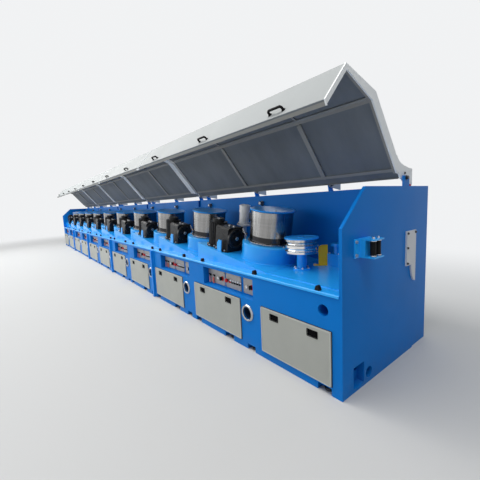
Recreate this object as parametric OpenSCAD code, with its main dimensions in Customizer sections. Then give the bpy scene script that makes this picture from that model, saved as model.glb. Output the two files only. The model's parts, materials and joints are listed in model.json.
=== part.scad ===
// Straight-line wire drawing machine: an end bay and a row of tilted drawing drums on one plinth,
// with a cabinet along the back and lifting hood sections. Millimetres, X along the line.

/* [Line] */
// Length of one drawing station
station_pitch = 1400; // [1350:10:1600]
// Length of the end bay that carries the guide sheave
end_bay_l = 970; // [940:10:1200]
// Width of the groove left round a joint between blocks
block_gap = 8; // [4:1:20]

/* [Housing] */
// Depth from the front wall to the back panels
housing_d = 1650; // [1600:10:1750]
// Height of the front wall
front_h = 870; // [800:10:950]
// Distance of the rear cabinet behind the front wall
cabinet_set = 1020; // [1000:5:1060]
// Height of the rear cabinet
cabinet_h = 1705; // [1690:5:1850]
// Width of the slot in the cabinet's front at each block joint
slot_w = 110; // [40:5:140]
// Height of that slot
slot_h = 130; // [60:5:160]

/* [End plates] */
// Thickness of an end plate
plate_t = 28; // [16:1:40]
// Height of an end plate's front edge
plate_front_h = 1391; // [1200:1:1450]
// Run of the slope from the front edge to the top
plate_slope_run = 342; // [250:1:450]

/* [Decks] */
// Tilt of each drum deck along the line
deck_tilt = 8.7; // [6:0.1:10]
// Height of a deck's low end above the ledge
deck_low_t = 8; // [4:1:30]
// Depth of the ledge between the front wall and the decks
deck_set = 118; // [116:1:128]
// Free gap left between neighbouring decks
deck_gap = 6; // [4:1:20]
// Thickness of the ledge plate
rail_t = 16; // [10:1:24]
// Overhang of the ledge plate in front of the wall
rail_out = 8; // [4:1:16]

/* [Drums] */
// Diameter of a drawing drum
drum_dia = 505; // [460:5:520]
// Height of the drum, its foot flange included
drum_h = 375; // [320:5:385]
// Diameter of the drum's lid
lid_dia = 536; // [520:2:560]
// Thickness of the drum's lid
lid_t = 14; // [8:1:18]
// Distance of the drum axis behind the front wall
drum_set = 545; // [530:5:600]
// Distance of the drum axis from the station's near edge, along the deck
drum_in = 397; // [380:1:440]
// Diameter of the gearbox boss under the drum
boss_dia = 680; // [640:10:700]
// Height of the gearbox boss
boss_h = 200; // [150:5:205]
// Gap under the drum
drum_gap = 9; // [5:1:12]
// Diameter of the gearbox hub that carries the drum
hub_dia = 220; // [160:10:300]

/* [Die boxes] */
// Distance of the die box's front cover from the drum axis
die_in = 387; // [380:1:450]
// Distance of the die box middle behind the front wall
die_set = 300; // [270:5:330]
// Length of the die box housing
die_l = 270; // [220:5:320]
// Width of the die box housing
die_w = 232; // [200:2:260]
// Height of the die box housing
die_h = 315; // [260:5:340]
// Diameter of the round cover
cover_dia = 206; // [180:2:220]
// Diameter of the upright rotor housing behind it
rotor_dia = 250; // [200:5:270]
// Height of the rotor housing
rotor_h = 330; // [300:5:350]

/* [Guide sheave] */
// Diameter of the guide sheave
sheave_dia = 350; // [300:5:400]
// Height of the grooved sheave
sheave_h = 150; // [120:5:200]
// Height of the sheave above the deck
sheave_lift = 185; // [150:5:220]
// Distance of the sheave axis from the first station
sheave_to_station = 170; // [160:5:320]
// Distance of the sheave axis behind the front wall
sheave_set = 493; // [420:1:560]
// Diameter of the column under it
column_dia = 106; // [80:2:130]

/* [Hoods] */
// Angle by which the hoods stand open
hood_open = 62; // [0:1:66]
// Fall of the main panel towards the front when the hood is shut
hood_dip = 10.7; // [9:0.1:11]
// Thickness of the folded hood sheet
hood_t = 5; // [3:0.5:6]
// Width of the main hood panel
hood_main = 826; // [800:1:850]
// Width of the sloping hood panel
hood_slope = 433; // [400:1:450]
// Width of the hood's front strip
hood_strip = 395; // [350:1:397]
// Width of the return lip along the strip
hood_lip = 46; // [30:1:60]
// Bend between the main and the sloping panel
hood_bend = 29; // [26:1:32]
// Bend between the sloping panel and the strip
strip_bend = 71; // [66:1:74]
// Bend between the strip and its lip
lip_bend = 70; // [60:1:90]
// Depth of the channel along a hood's near end
channel_h = 30; // [20:1:36]
// Depth of the stiffening ribs
rib_h = 12; // [8:1:30]
// Width of a stiffening rib
rib_w = 24; // [12:1:40]
// Height of the hinge line above the cabinet
pivot_lift = 80; // [76:1:100]
// Distance of the hinge line behind the cabinet's front
pivot_set = 80; // [70:1:110]
// Length of a bow handle
handle_l = 170; // [120:5:220]
// Height of a bow handle
handle_h = 48; // [35:1:60]

/* [Doors] */
// Height of the front doors
door_h = 475; // [420:5:480]
// Height of the doors' lower edge
door_sill = 80; // [75:1:90]
// Thickness of a door skin
door_t = 12; // [10:1:20]
// Width of a station's door
door_w = 1030; // [900:10:1060]
// Distance of a station's door from its near edge
door_in = 308; // [295:1:320]
// Width of a latch
latch_w = 108; // [80:2:140]
// Height of a latch
latch_h = 58; // [40:2:80]

/* [Controls] */
// Width of the control recess
recess_w = 997; // [980:1:1050]
// Height of the control recess
recess_h = 222; // [190:2:230]
// Depth of the control recess
recess_d = 84; // [60:2:90]
// Drop of the recess top below the front wall's top
recess_drop = 60; // [50:2:80]
// Distance of the recess from the station's near edge
recess_in = 88; // [60:1:120]

/* [Ports] */
// Outer diameter of the bright port ring
ring_dia = 190; // [170:2:210]
// Bore of the port
port_bore = 136; // [120:2:150]
// Depth of the port
port_depth = 160; // [60:5:250]
// Height of the port's middle
port_z = 420; // [380:5:460]
// Distance of the port's middle from the station's near edge
port_in = 188; // [150:1:190]

/* [Hidden] */
station_count = 10;
block_count = 5;
block_stations = 2;
$fn = 72;
eps = 1;
seat = 0.3;

total_l = end_bay_l + station_count * station_pitch;
sheave_from_end = end_bay_l - sheave_to_station;
table_z = front_h - rail_t;
deck_low_z = front_h + deck_low_t;

// Places: a distance from the near end, and one behind the front wall
function from_end(d) = total_l / 2 - d;
function behind(d) = d - housing_d / 2;
function station_edge(s) = end_bay_l + (s - 1) * station_pitch;
function block_start(b) = b == 1 ? 0 : station_edge((b - 1) * block_stations + 1);
function block_end(b) = station_edge(b * block_stations + 1);
function block_list(b) = [(b - 1) * block_stations + 1:b * block_stations];
function deck_z(run) = deck_low_z + run * tan(deck_tilt);

drum_run = drum_in * cos(deck_tilt);
die_run = (drum_in + die_in) * cos(deck_tilt);

// Hood outline: headings of its folds, seen from the end with the hood shut
fold = [hood_dip - 90, hood_dip, hood_dip + hood_bend, hood_dip + hood_bend + strip_bend,
        hood_dip + hood_bend + strip_bend + lip_bend];
hood_back = 20;
edge_in = 30;
edge_drop = 51;
function head(a) = [-cos(a), -sin(a)];
function inward(a) = [sin(a), -cos(a)];
edge_h = [-edge_in, -edge_drop];
bend_1 = edge_h + hood_main * head(fold[1]);
bend_2 = bend_1 + hood_slope * head(fold[2]);
foot_f = bend_2 + hood_strip * head(fold[3]);
lip_end = foot_f + hood_lip * head(fold[4]);
function mitre(p, a, b, t) = p + t / cos((b - a) / 2) * inward((a + b) / 2);
function skin_line(t) = [
    edge_h - hood_back * head(fold[0]) + t * inward(fold[0]),
    mitre(edge_h, fold[0], fold[1], t),
    mitre(bend_1, fold[1], fold[2], t),
    mitre(bend_2, fold[2], fold[3], t),
    mitre(foot_f, fold[3], fold[4], t),
    lip_end + t * inward(fold[4])];
flange_from_edge = 72;
rib_from_edge = 78;
stiffener_from_edge = 84;
rib_to_foot = 6;
// A rib ends square before the strip's foot, an end flange ends inside the return lip
function panel_line(u, t) = [
    edge_h + u * head(fold[1]) + t * inward(fold[1]),
    mitre(bend_1, fold[1], fold[2], t),
    mitre(bend_2, fold[2], fold[3], t)];
function rib_line(t) = concat(panel_line(rib_from_edge, t),
    [foot_f - rib_to_foot * head(fold[3]) + t * inward(fold[3])]);
function flange_line(t) = concat(panel_line(flange_from_edge, t),
    [foot_f + hood_t / 2 * inward(fold[4]) + t / sin(lip_bend) * head(fold[4])]);
function flip(v) = [for (i = [len(v) - 1:-1:0]) v[i]];
// A patch of a hood panel: from a point along a heading, between two depths under the skin
function patch(p, a, u0, u1, h0, h1) = [
    p + u0 * head(a) + h0 * inward(a), p + u1 * head(a) + h0 * inward(a),
    p + u1 * head(a) + h1 * inward(a), p + u0 * head(a) + h1 * inward(a)];
pivot_y = behind(cabinet_set + pivot_set);
pivot_z = cabinet_h + pivot_lift;

hood_end_gap = 8;
hood_joint_gap = 34;
flange_t = 6;
flange_out = 56;
channel_w = 34;
band_w = 120;
rib_before = 140;
stiffener_w = 34;
stiffener_h = 14;
ear_t = 12;
arm_t = 10;
ear_gap = 3;
hinge_pin_dia = 24;
hinge_pin_play = 0.05;
pin_end = 12;
eye_dia = 64;
arm_l = 215;
ear_foot = [-14, 74];
end_ear_foot = [-60, 66];
end_ear_up = 20;
arm_step = ear_gap + arm_t;
// The arm's outline behind the hood, from the hinge line, with the hood raised by arm_rise
arm_rise = 62;
arm_curve = [[-145, 208], [-118, 180], [-91, 156], [-48, 136], [0, 121], [100, 102], [200, 92],
             [200, -66], [0, -34]];
function shut(p) = [p[0] * cos(arm_rise) - p[1] * sin(arm_rise),
                    p[0] * sin(arm_rise) + p[1] * cos(arm_rise)];

// A flat piece drawn in Y and Z, drawn out along X between two distances from the near end
module along_line(d0, d1) {
    translate([from_end(d1), 0, 0]) rotate([90, 0, 90]) linear_extrude(d1 - d0) children();
}

// A flat piece drawn in X and Z, drawn out towards the back
module to_back(d0, d1) {
    translate([0, behind(d1), 0]) rotate([90, 0, 0]) linear_extrude(d1 - d0) children();
}

// What stands on the deck of station s, at a run along it and a distance behind the front
module on_deck(s, run, set_back) {
    translate([from_end(station_edge(s) + run), behind(set_back), deck_z(run)])
        rotate([0, deck_tilt, 0]) translate([0, 0, seat]) children();
}

sill_fall = 8;
recess_z = front_h - recess_drop - recess_h;
module control_recess(s) {
    d0 = station_edge(s) + recess_in;
    along_line(d0, d0 + recess_w)
        polygon([[behind(-eps), recess_z - sill_fall], [behind(recess_d), recess_z],
                 [behind(recess_d), recess_z + recess_h], [behind(-eps), recess_z + recess_h]]);
}

// Pockets along the foot of the plinth: distance from the bay's near edge, and width
foot_pockets = [[80, 130], [470, 170], [1215, 130]];
end_pocket = [100, 138];
pocket_h = 62;
pocket_d = 200;
module foot_pocket(d, w) {
    translate([from_end(d + w), behind(-eps), -eps]) cube([w, pocket_d + eps, pocket_h + eps]);
}

module port(d, z, dia) {
    translate([from_end(d), behind(port_depth), z]) rotate([90, 0, 0])
        cylinder(d = dia, h = port_depth + eps);
}

end_port_in = 176;
end_port_drop = 154;
end_port_dia = 100;
slot_d = 40;
// Bolting faces, where neighbouring blocks meet behind the groove
face_w = 90;
face_h = 260;
face_set = 30;
module joint_faces(b) {
    for (y = [face_set, cabinet_set + slot_d, housing_d - face_w - face_set])
        for (z = [face_set, table_z - face_h - face_set])
            along_line(max(block_start(b), plate_t), min(block_end(b), total_l - plate_t))
                translate([behind(y), z]) square([face_w, face_h]);
}

// Openings at the foot of the near end plate, a square one with a ledge in it and a round one
square_hole = [161, 32];
square_hole_w = 164;
square_hole_h = 190;
ledge_h = 92;
ledge_d = 40;
hole_d = 180;
round_hole = [408, 92];
round_hole_dia = 100;
round_hole_d = 90;
module end_pockets() {
    along_line(plate_t - eps, plate_t + ledge_d)
        translate([behind(square_hole[0]), square_hole[1]]) square([square_hole_w, square_hole_h]);
    along_line(plate_t - eps, plate_t + hole_d)
        translate([behind(square_hole[0]), square_hole[1] + ledge_h])
            square([square_hole_w, square_hole_h - ledge_h]);
    along_line(plate_t - eps, plate_t + round_hole_d)
        translate([behind(round_hole[0]), round_hole[1]]) circle(d = round_hole_dia);
}

module block(b) {
    d0 = b == 1 ? plate_t : block_start(b) + block_gap / 2;
    d1 = block_end(b) - (b == block_count ? plate_t : block_gap / 2);
    color("dodgerblue") difference() {
        union() {
            along_line(d0, d1)
                polygon([[behind(0), 0], [behind(housing_d), 0], [behind(housing_d), cabinet_h],
                         [behind(cabinet_set), cabinet_h], [behind(cabinet_set), table_z],
                         [behind(0), table_z]]);
            joint_faces(b);
        }
        for (s = block_list(b)) {
            control_recess(s);
            for (p = foot_pockets) foot_pocket(station_edge(s) + p[0], p[1]);
            port(station_edge(s) + port_in, port_z, port_bore);
        }
        if (b == 1) {
            end_pockets();
            port(end_port_in, front_h - end_port_drop, end_port_dia);
            foot_pocket(end_pocket[0], end_pocket[1]);
        }
        for (d = [d0, d1]) if (d > plate_t && d < total_l - plate_t)
            translate([from_end(d) - slot_w / 2, behind(cabinet_set - eps), cabinet_h - slot_h])
                cube([slot_w, slot_d + eps, slot_h + eps]);
    }
}

module end_plate(d0) {
    along_line(d0, d0 + plate_t)
        polygon([[behind(0), 0], [behind(housing_d), 0], [behind(housing_d), cabinet_h],
                 [behind(plate_slope_run), cabinet_h], [behind(0), plate_front_h]]);
}

// The near end plate's rear part lies a little deeper, behind an open groove
rear_from = 1303;
rear_step = 10;
rear_gap = 12;
rear_gap_h = 1420;
module near_end_plate() {
    color("dodgerblue") difference() {
        end_plate(0);
        along_line(-eps, plate_t + eps) translate([behind(square_hole[0]), square_hole[1]])
            square([square_hole_w, square_hole_h]);
        along_line(-eps, plate_t + eps) translate([behind(round_hole[0]), round_hole[1]])
            circle(d = round_hole_dia);
        along_line(-eps, rear_step) translate([behind(rear_from), -eps])
            square([housing_d - rear_from + eps, cabinet_h + 2 * eps]);
        along_line(-eps, plate_t + eps) translate([behind(rear_from), -eps])
            square([rear_gap, rear_gap_h + eps]);
    }
}

module far_end_plate() {
    color("dodgerblue") end_plate(total_l - plate_t);
}

module drum_decks() {
    color("deepskyblue") {
        for (s = [1:station_count]) {
            d0 = station_edge(s) + deck_gap / 2;
            run = station_pitch - deck_gap - (s == station_count ? plate_t : 0);
            to_back(deck_set, cabinet_set)
                polygon([[from_end(d0), table_z], [from_end(d0), deck_z(deck_gap / 2)],
                         [from_end(d0 + run), deck_z(deck_gap / 2 + run)], [from_end(d0 + run), table_z]]);
        }
        to_back(deck_set, cabinet_set)
            polygon([[from_end(plate_t), table_z], [from_end(plate_t), deck_low_z],
                     [from_end(end_bay_l - deck_gap / 2), deck_low_z],
                     [from_end(end_bay_l - deck_gap / 2), table_z]]);
    }
}

// Small gusset in front of each die box
gusset_run = 850;
gusset_set = 136;
gusset_w = 90;
gusset_t = 10;
gusset_h = 150;
module deck_gussets() {
    color("deepskyblue") for (s = [1:station_count]) on_deck(s, gusset_run, gusset_set + gusset_t)
        rotate([90, 0, 0]) linear_extrude(gusset_t)
            polygon([[-gusset_w, 0], [0, 0], [0, gusset_h], [-gusset_w * 2 / 3, gusset_h],
                     [-gusset_w, gusset_h * 0.7]]);
}

rim = 16;
boss_foot = 10;
module drum_bosses() {
    r = boss_dia / 2;
    color("dodgerblue") for (s = [1:station_count]) on_deck(s, drum_run, drum_set)
        rotate_extrude() polygon([[0, 0], [r + boss_foot, 0], [r + boss_foot, boss_foot / 2],
                                  [r, boss_foot], [r, boss_h - rim], [r - rim / 3, boss_h - rim / 3],
                                  [r - rim, boss_h],
                                  [hub_dia / 2, boss_h], [hub_dia / 2, boss_h + drum_gap - seat],
                                  [0, boss_h + drum_gap - seat]]);
}

// The drum's turned outline: a foot flange, a hollow fillet, the working face and a crowned top
foot_out = 12;
foot_t = 10;
fillet_r = 14;
fillet_steps = 5;
crown = 8;
function fillet(r) = [for (i = [0:fillet_steps]) let (a = 90 * i / fillet_steps)
    [r + fillet_r * (1 - sin(a)), foot_t + fillet_r * (1 - cos(a))]];
module drum(s) {
    r = drum_dia / 2;
    color("silver") on_deck(s, drum_run, drum_set) translate([0, 0, boss_h + drum_gap])
        rotate_extrude() polygon(concat(
            [[0, 0], [r + foot_out + fillet_r, 0], [r + foot_out + fillet_r, foot_t]], fillet(r),
            [[r, drum_h - crown], [r - crown, drum_h], [0, drum_h]]));
}

lid_hole_dia = 26;
lid_hole_in = 64;
lid_hole_turn = 142;
module drum_lid(s) {
    r = lid_dia / 2;
    color("royalblue") on_deck(s, drum_run, drum_set)
    translate([0, 0, boss_h + drum_gap + drum_h]) difference() {
        rotate_extrude() polygon([[0, 0], [r - 3, 0], [r, 3], [r, lid_t - 4], [r - 4, lid_t], [0, lid_t]]);
        rotate(lid_hole_turn) translate([r - lid_hole_in, 0, -eps])
            cylinder(d = lid_hole_dia, h = lid_t + 2 * eps);
    }
}

die_foot = 22;
die_foot_t = 16;
die_round = 26;
cover_z = 178;
cover_t = 18;
cover_hub_dia = 60;
cap_dia = 160;
cap_h = 46;
fin_count = 24;
fin_h = 9;
fin_step = [0, 0.3, 0.5, 0.8];
function fin_star(r) = [for (i = [0:fin_count - 1]) for (k = [0:3])
    let (a = (i + fin_step[k]) * 360 / fin_count, q = k < 2 ? r : r - fin_h) [q * cos(a), q * sin(a)]];
module die_box() {
    rotor_x = -die_l - rotor_dia / 2 + fin_h;
    translate([-die_l, -die_w / 2 - die_foot, 0])
        cube([die_l - die_foot, die_w + 2 * die_foot, die_foot_t]);
    translate([-die_l - eps, 0, 0]) rotate([90, 0, 90]) linear_extrude(die_l + eps)
        polygon([[-die_w / 2, 0], [die_w / 2, 0], [die_w / 2, die_h - die_round],
                 [die_w / 2 - die_round, die_h], [die_round - die_w / 2, die_h],
                 [-die_w / 2, die_h - die_round]]);
    translate([0, 0, cover_z]) rotate([0, 90, 0]) rotate_extrude()
        polygon([[0, -eps], [cover_dia / 2, -eps], [cover_dia / 2, cover_t],
                 [cover_dia / 2 - cover_t, cover_t], [cover_dia / 2 - cover_t, cover_t / 2],
                 [cover_hub_dia / 2, cover_t / 2], [cover_hub_dia / 2, 2 * cover_t], [0, 2 * cover_t]]);
    translate([rotor_x, 0, 0]) {
        cylinder(d = rotor_dia + 2 * die_foot, h = die_foot_t);
        linear_extrude(rotor_h) polygon(fin_star(rotor_dia / 2));
        translate([0, 0, rotor_h - eps]) cylinder(d = cap_dia, h = cap_h + eps);
    }
}

module die_boxes() {
    color("dimgray") for (s = [1:station_count]) on_deck(s, die_run, die_set) die_box();
}

module front_rail() {
    color("deepskyblue") for (b = [1:block_count])
        along_line(b == 1 ? plate_t : block_start(b) + block_gap / 2,
                   block_end(b) - (b == block_count ? plate_t : block_gap / 2))
            polygon([[behind(0), table_z], [behind(deck_set), table_z], [behind(deck_set), front_h],
                     [behind(rail_t / 3 - rail_out), front_h], [behind(-rail_out), front_h - rail_t / 3],
                     [behind(-rail_out), table_z - rail_t / 2], [behind(0), table_z - rail_t / 2]]);
}

bumper_w = 46;
bumper_d = 34;
bumper_h = 44;
bumper_foot = 12;
end_bumper = 235;
odd_bumpers = [68, 1118];
even_bumpers = [243, 1118];
module bumper(d) {
    r = bumper_w / 2;
    translate([from_end(d), behind(0), front_h + seat]) rotate([90, 0, 0])
        translate([0, 0, -bumper_d]) linear_extrude(bumper_d) polygon(concat(
            [[r, 0], [r, bumper_foot]],
            [for (a = [0:18:180]) [(r - 3) * cos(a), bumper_foot + (bumper_h - bumper_foot) * sin(a)]],
            [[-r, bumper_foot], [-r, 0]]));
}

module rail_bumpers() {
    color("black") {
        bumper(end_bumper);
        for (s = [1:station_count]) for (d = s % 2 == 1 ? odd_bumpers : even_bumpers)
            bumper(station_edge(s) + d);
    }
}

latch_pocket = 9;
latch_drop = 70;
end_door_in = 97;
end_door_gap = 38;
station_latches = [225, 808];
end_latches = [185, 645];
module door(d0, d1, latches) {
    bevel = 4;
    difference() {
        translate([from_end(d1), behind(-door_t), door_sill]) cube([d1 - d0, door_t, door_h]);
        for (x = [from_end(d0), from_end(d1)]) for (z = [door_sill, door_sill + door_h])
            translate([x, behind(-door_t), z]) rotate([0, 45, 0])
                cube([2 * bevel, 2 * door_t + 2 * eps, 2 * bevel], center = true);
        for (d = latches) translate([from_end(d0 + d + latch_w / 2), behind(-door_t - eps),
                                     door_sill + door_h - latch_drop - latch_h / 2])
            cube([latch_w, latch_pocket + eps, latch_h]);
    }
}

module front_doors() {
    color("silver") {
        door(end_door_in, end_bay_l - end_door_gap, end_latches);
        for (s = [1:station_count])
            door(station_edge(s) + door_in, station_edge(s) + door_in + door_w, station_latches);
    }
}

// A recessed latch: a tray with a paddle across it
latch_play = 1;
paddle_in = 11;
module latch(d) {
    z = door_sill + door_h - latch_drop;
    w = latch_w - 2 * latch_play;
    h = latch_h - 2 * latch_play;
    tray = 3;
    translate([from_end(d + w / 2), behind(0), z]) rotate([90, 0, 0]) {
        translate([0, -h / 2, door_t - latch_pocket + seat]) cube([w, h, tray]);
        translate([paddle_in, -h / 2 + tray, door_t - latch_pocket + seat])
            cube([w - 2 * paddle_in, h / 2, 2 * tray]);
    }
}

module door_latches() {
    color("black") {
        for (d = end_latches) latch(end_door_in + d);
        for (s = [1:station_count]) for (d = station_latches) latch(station_edge(s) + door_in + d);
    }
}

back_gap = 60;
module back_panels() {
    color("silver") {
        for (s = [1:station_count])
            translate([from_end(station_edge(s + 1) - 2 * back_gap), behind(housing_d), door_sill])
                cube([station_pitch - 4 * back_gap, door_t, cabinet_h - 2 * door_sill]);
        translate([from_end(end_bay_l - 2 * back_gap), behind(housing_d), door_sill])
            cube([end_bay_l - 4 * back_gap, door_t, cabinet_h - 2 * door_sill]);
    }
}

ring_t = 16;
module port_rings() {
    color("white") for (s = [1:station_count])
        translate([from_end(station_edge(s) + port_in), behind(0), port_z]) rotate([90, 0, 0])
            rotate_extrude() polygon([[port_bore / 2, 0], [ring_dia / 2, 0], [ring_dia / 2, ring_t / 3],
                     [ring_dia / 2 - ring_t / 2, ring_t], [port_bore / 2 + ring_t / 3, ring_t],
                     [port_bore / 2, 2 * ring_t / 3]]);
}

// The three control plates: start and end along the recess, as shares of its width
plates = [[0.012, 0.25], [0.296, 0.594], [0.616, 0.99]];
panel_t = 6;
panel_margin = 12;
plate_h = recess_h - 4 * panel_margin;
plate_z = recess_z + panel_margin;
function plate_from(s, i) = station_edge(s) + recess_in + recess_w * plates[i][0];
function plate_to(s, i) = station_edge(s) + recess_in + recess_w * plates[i][1];
module control_plates() {
    color("silver") for (s = [1:station_count]) for (i = [0:2])
        along_line(plate_from(s, i), plate_to(s, i)) translate([behind(recess_d - panel_t), plate_z])
            square([panel_t, plate_h]);
}

// Knobs and buttons: plate, share of its width, share of its height, diameter and length
knobs = [[2, 0.86, 0.62, 22, 26], [2, 0.7, 0.62, 22, 26], [2, 0.46, 0.5, 44, 8], [2, 0.2, 0.5, 40, 34],
         [1, 0.92, 0.5, 30, 26], [1, 0.78, 0.56, 24, 14], [1, 0.64, 0.56, 24, 14], [1, 0.5, 0.5, 28, 18],
         [1, 0.36, 0.5, 28, 18], [1, 0.22, 0.5, 28, 18], [0, 0.62, 0.5, 44, 8], [0, 0.3, 0.5, 42, 34]];
module knob(s, k) {
    w = plate_to(s, k[0]) - plate_from(s, k[0]);
    bevel = k[3] / 10;
    translate([from_end(plate_from(s, k[0]) + k[1] * w), behind(recess_d - panel_t),
               plate_z + k[2] * plate_h]) rotate([90, 0, 0]) rotate_extrude($fn = 24)
            polygon([[0, 0], [k[3] / 2, 0], [k[3] / 2, k[4] - bevel], [k[3] / 2 - bevel, k[4]], [0, k[4]]]);
}

module control_knobs() {
    color("black") for (s = [1:station_count]) for (k = knobs) knob(s, k);
}

// Hinges, each as the places of its ear and its arm: one before each station's far edge, one behind
// each block joint, and on the first block one at the end plate and one before the first station
hinge_before = 190;
hinge_after = 96;
end_hinge_before = 113;
end_ear_in = 8;
function hood_start(b) = b == 1 ? plate_t + hood_end_gap : block_start(b) + hood_joint_gap / 2;
function hood_stop(b) = block_end(b) - (b == block_count ? plate_t + hood_end_gap : hood_joint_gap / 2);
function hinge_at(d) = [d, d - arm_step];
function hinges(b) = concat(
    b == 1 ? [[end_ear_in, plate_t + hood_end_gap], hinge_at(end_bay_l - end_hinge_before)]
           : [hinge_at(block_start(b) + hinge_after)],
    [for (s = block_list(b)) hinge_at(station_edge(s + 1) - hinge_before)]);
function ribs(b) = [for (s = block_list(b)) if (s > block_list(b)[0] || b == 1)
    station_edge(s) - rib_before];

module hinge_brackets() {
    color("dodgerblue") for (b = [1:block_count]) for (h = hinges(b)) {
        at_end = h[0] < h[1];
        along_line(h[0], h[0] + ear_t) if (at_end)
            polygon([[pivot_y + end_ear_foot[0], cabinet_h], [pivot_y + end_ear_foot[1], cabinet_h],
                     [pivot_y + end_ear_foot[1], pivot_z + end_ear_up / 2],
                     [pivot_y + end_ear_foot[1] - end_ear_up, pivot_z + end_ear_up],
                     [pivot_y + end_ear_foot[0], pivot_z + end_ear_up]]);
        else union() {
            polygon([[pivot_y + ear_foot[0], cabinet_h], [pivot_y + ear_foot[1], cabinet_h],
                     [pivot_y + eye_dia / 2, pivot_z], [pivot_y - eye_dia / 2, pivot_z]]);
            translate([pivot_y, pivot_z]) circle(d = eye_dia);
        }
        along_line(at_end ? h[0] : h[1] - pin_end, at_end ? h[1] + arm_t + pin_end : h[0] + ear_t)
            translate([pivot_y, pivot_z]) circle(d = hinge_pin_dia);
    }
}

// A hood's arm: an eye round the hinge pin, a foot along the main panel and a tail behind the pin
module hood_arm_shape() {
    difference() {
        union() {
            circle(d = eye_dia);
            polygon(concat([edge_h + hood_t / 2 * (inward(fold[1]) + head(fold[1])),
                            edge_h + arm_l * head(fold[1]) + hood_t / 2 * inward(fold[1])],
                           [for (p = arm_curve) shut(p)]));
        }
        circle(d = hinge_pin_dia + 2 * hinge_pin_play);
    }
}

// The hood as it stands, from a model of it shut
module lifted() {
    translate([0, pivot_y, pivot_z]) rotate([-hood_open, 0, 0]) children();
}

module hood(b) {
    d0 = hood_start(b);
    d1 = hood_stop(b);
    color("whitesmoke") lifted() {
        along_line(d0, d1) polygon(concat(skin_line(0), flip(skin_line(hood_t))));
        for (r = [[d0, channel_h], [d1 - flange_t, rib_h]]) along_line(r[0], r[0] + flange_t)
            polygon(concat(flange_line(hood_t - 2 * eps), flip(flange_line(hood_t + r[1]))));
        for (r = concat(b == 1 ? [] : [[d0, band_w]], [for (d = ribs(b)) [d, rib_w]]))
            along_line(r[0], r[0] + r[1])
                polygon(concat(rib_line(hood_t - eps), flip(rib_line(hood_t + rib_h))));
        if (b == 1) along_line(d0, d0 + channel_w)
            polygon(concat(rib_line(channel_h + eps), flip(rib_line(hood_t + channel_h + eps))));
        for (d = [d0, d1 - flange_t]) along_line(d, d + flange_t)
            polygon([rib_line(eps)[0], rib_line(-flange_out)[0], rib_line(-flange_out)[1],
                     rib_line(eps)[2], rib_line(eps)[1]]);
        for (p = [[edge_h, fold[1], stiffener_from_edge], [bend_1, fold[1], -stiffener_w],
                  [bend_1, fold[2], 0], [bend_2, fold[2], -2 * stiffener_w]])
            along_line(d0, d1) polygon(patch(p[0], p[1], p[2], p[2] + stiffener_w,
                                             hood_t - 1.5 * eps, hood_t + stiffener_h));
        for (h = hinges(b)) along_line(h[1], h[1] + arm_t) hood_arm_shape();
    }
}

handle_in = 645;
end_handle_in = 450;
handle_w = 20;
handle_t = 14;
handle_up = 48;
module bow_handle(d) {
    along_line(d, d + handle_t)
        polygon(patch(foot_f, fold[3], -handle_up - handle_w, -handle_up, -seat, -handle_h));
    along_line(d + handle_l - handle_t, d + handle_l)
        polygon(patch(foot_f, fold[3], -handle_up - handle_w, -handle_up, -seat, -handle_h));
    along_line(d, d + handle_l)
        polygon(patch(foot_f, fold[3], -handle_up - handle_w, -handle_up, handle_t - handle_h, -handle_h));
}

module hood_handles(b) {
    color("black") lifted() {
        if (b == 1) bow_handle(end_handle_in);
        for (s = block_list(b)) bow_handle(station_edge(s) + handle_in);
    }
}

column_foot_dia = 190;
column_foot_t = 16;
module sheave_column() {
    color("dodgerblue") translate([from_end(sheave_from_end), behind(sheave_set), deck_low_z + seat]) {
        cylinder(d = column_foot_dia, h = column_foot_t);
        cylinder(d = column_dia, h = sheave_lift - drum_gap);
        cylinder(d = column_dia / 2, h = sheave_lift - 2 * seat);
    }
}

// The sheave's turned outline: three ribs with a round groove between each two
groove_r = 20;
groove_steps = 6;
rib_t = (sheave_h - 4 * groove_r) / 3;
function groove(r, z) = [for (i = [0:groove_steps]) let (a = 180 * i / groove_steps)
    [r - groove_r * sin(a), z - groove_r * cos(a)]];
module guide_sheave() {
    r = sheave_dia / 2;
    color("silver") translate([from_end(sheave_from_end), behind(sheave_set), deck_low_z + sheave_lift])
        rotate_extrude() polygon(concat([[0, 0], [r - 3, 0], [r, 3]], groove(r, rib_t + groove_r),
                                        groove(r, 2 * rib_t + 3 * groove_r),
                                        [[r, sheave_h], [0, sheave_h]]));
}

sheave_lid_t = 12;
sheave_lid_out = 5;
module sheave_lid() {
    r = sheave_dia / 2 + sheave_lid_out;
    color("royalblue")
        translate([from_end(sheave_from_end), behind(sheave_set), deck_low_z + sheave_lift + sheave_h])
            rotate_extrude() polygon([[0, 0], [r - 2, 0], [r, 2], [r, sheave_lid_t - 3],
                                      [r - 3, sheave_lid_t], [0, sheave_lid_t]]);
}

guard_to_sheave = 75;
guard_from_end = sheave_from_end - guard_to_sheave;
guard_set = 768;
guard_turn = 39;
guard_w = 100;
guard_h = 236;
guard_t = 8;
guard_foot = 56;
guard_round = 45;
module wire_guard() {
    color("gold") translate([from_end(guard_from_end), behind(guard_set), deck_low_z + seat])
    rotate(guard_turn) {
        translate([0, guard_t, 0]) rotate([90, 0, 0]) linear_extrude(guard_t)
            polygon(concat([[-guard_w / 2, 0], [guard_w / 2, 0], [guard_w / 2, guard_h]],
                           [for (a = [90:15:180]) [-guard_w / 2 + guard_round * (1 + cos(a)),
                                                   guard_h - guard_round * (1 - sin(a))]]));
        translate([-guard_w / 2 - guard_foot, 0, 0]) cube([guard_w + guard_foot, guard_foot, guard_t]);
        translate([guard_w / 2 - guard_t, 0, 0]) cube([guard_t, guard_foot, guard_h - 2 * guard_t]);
    }
}

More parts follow.
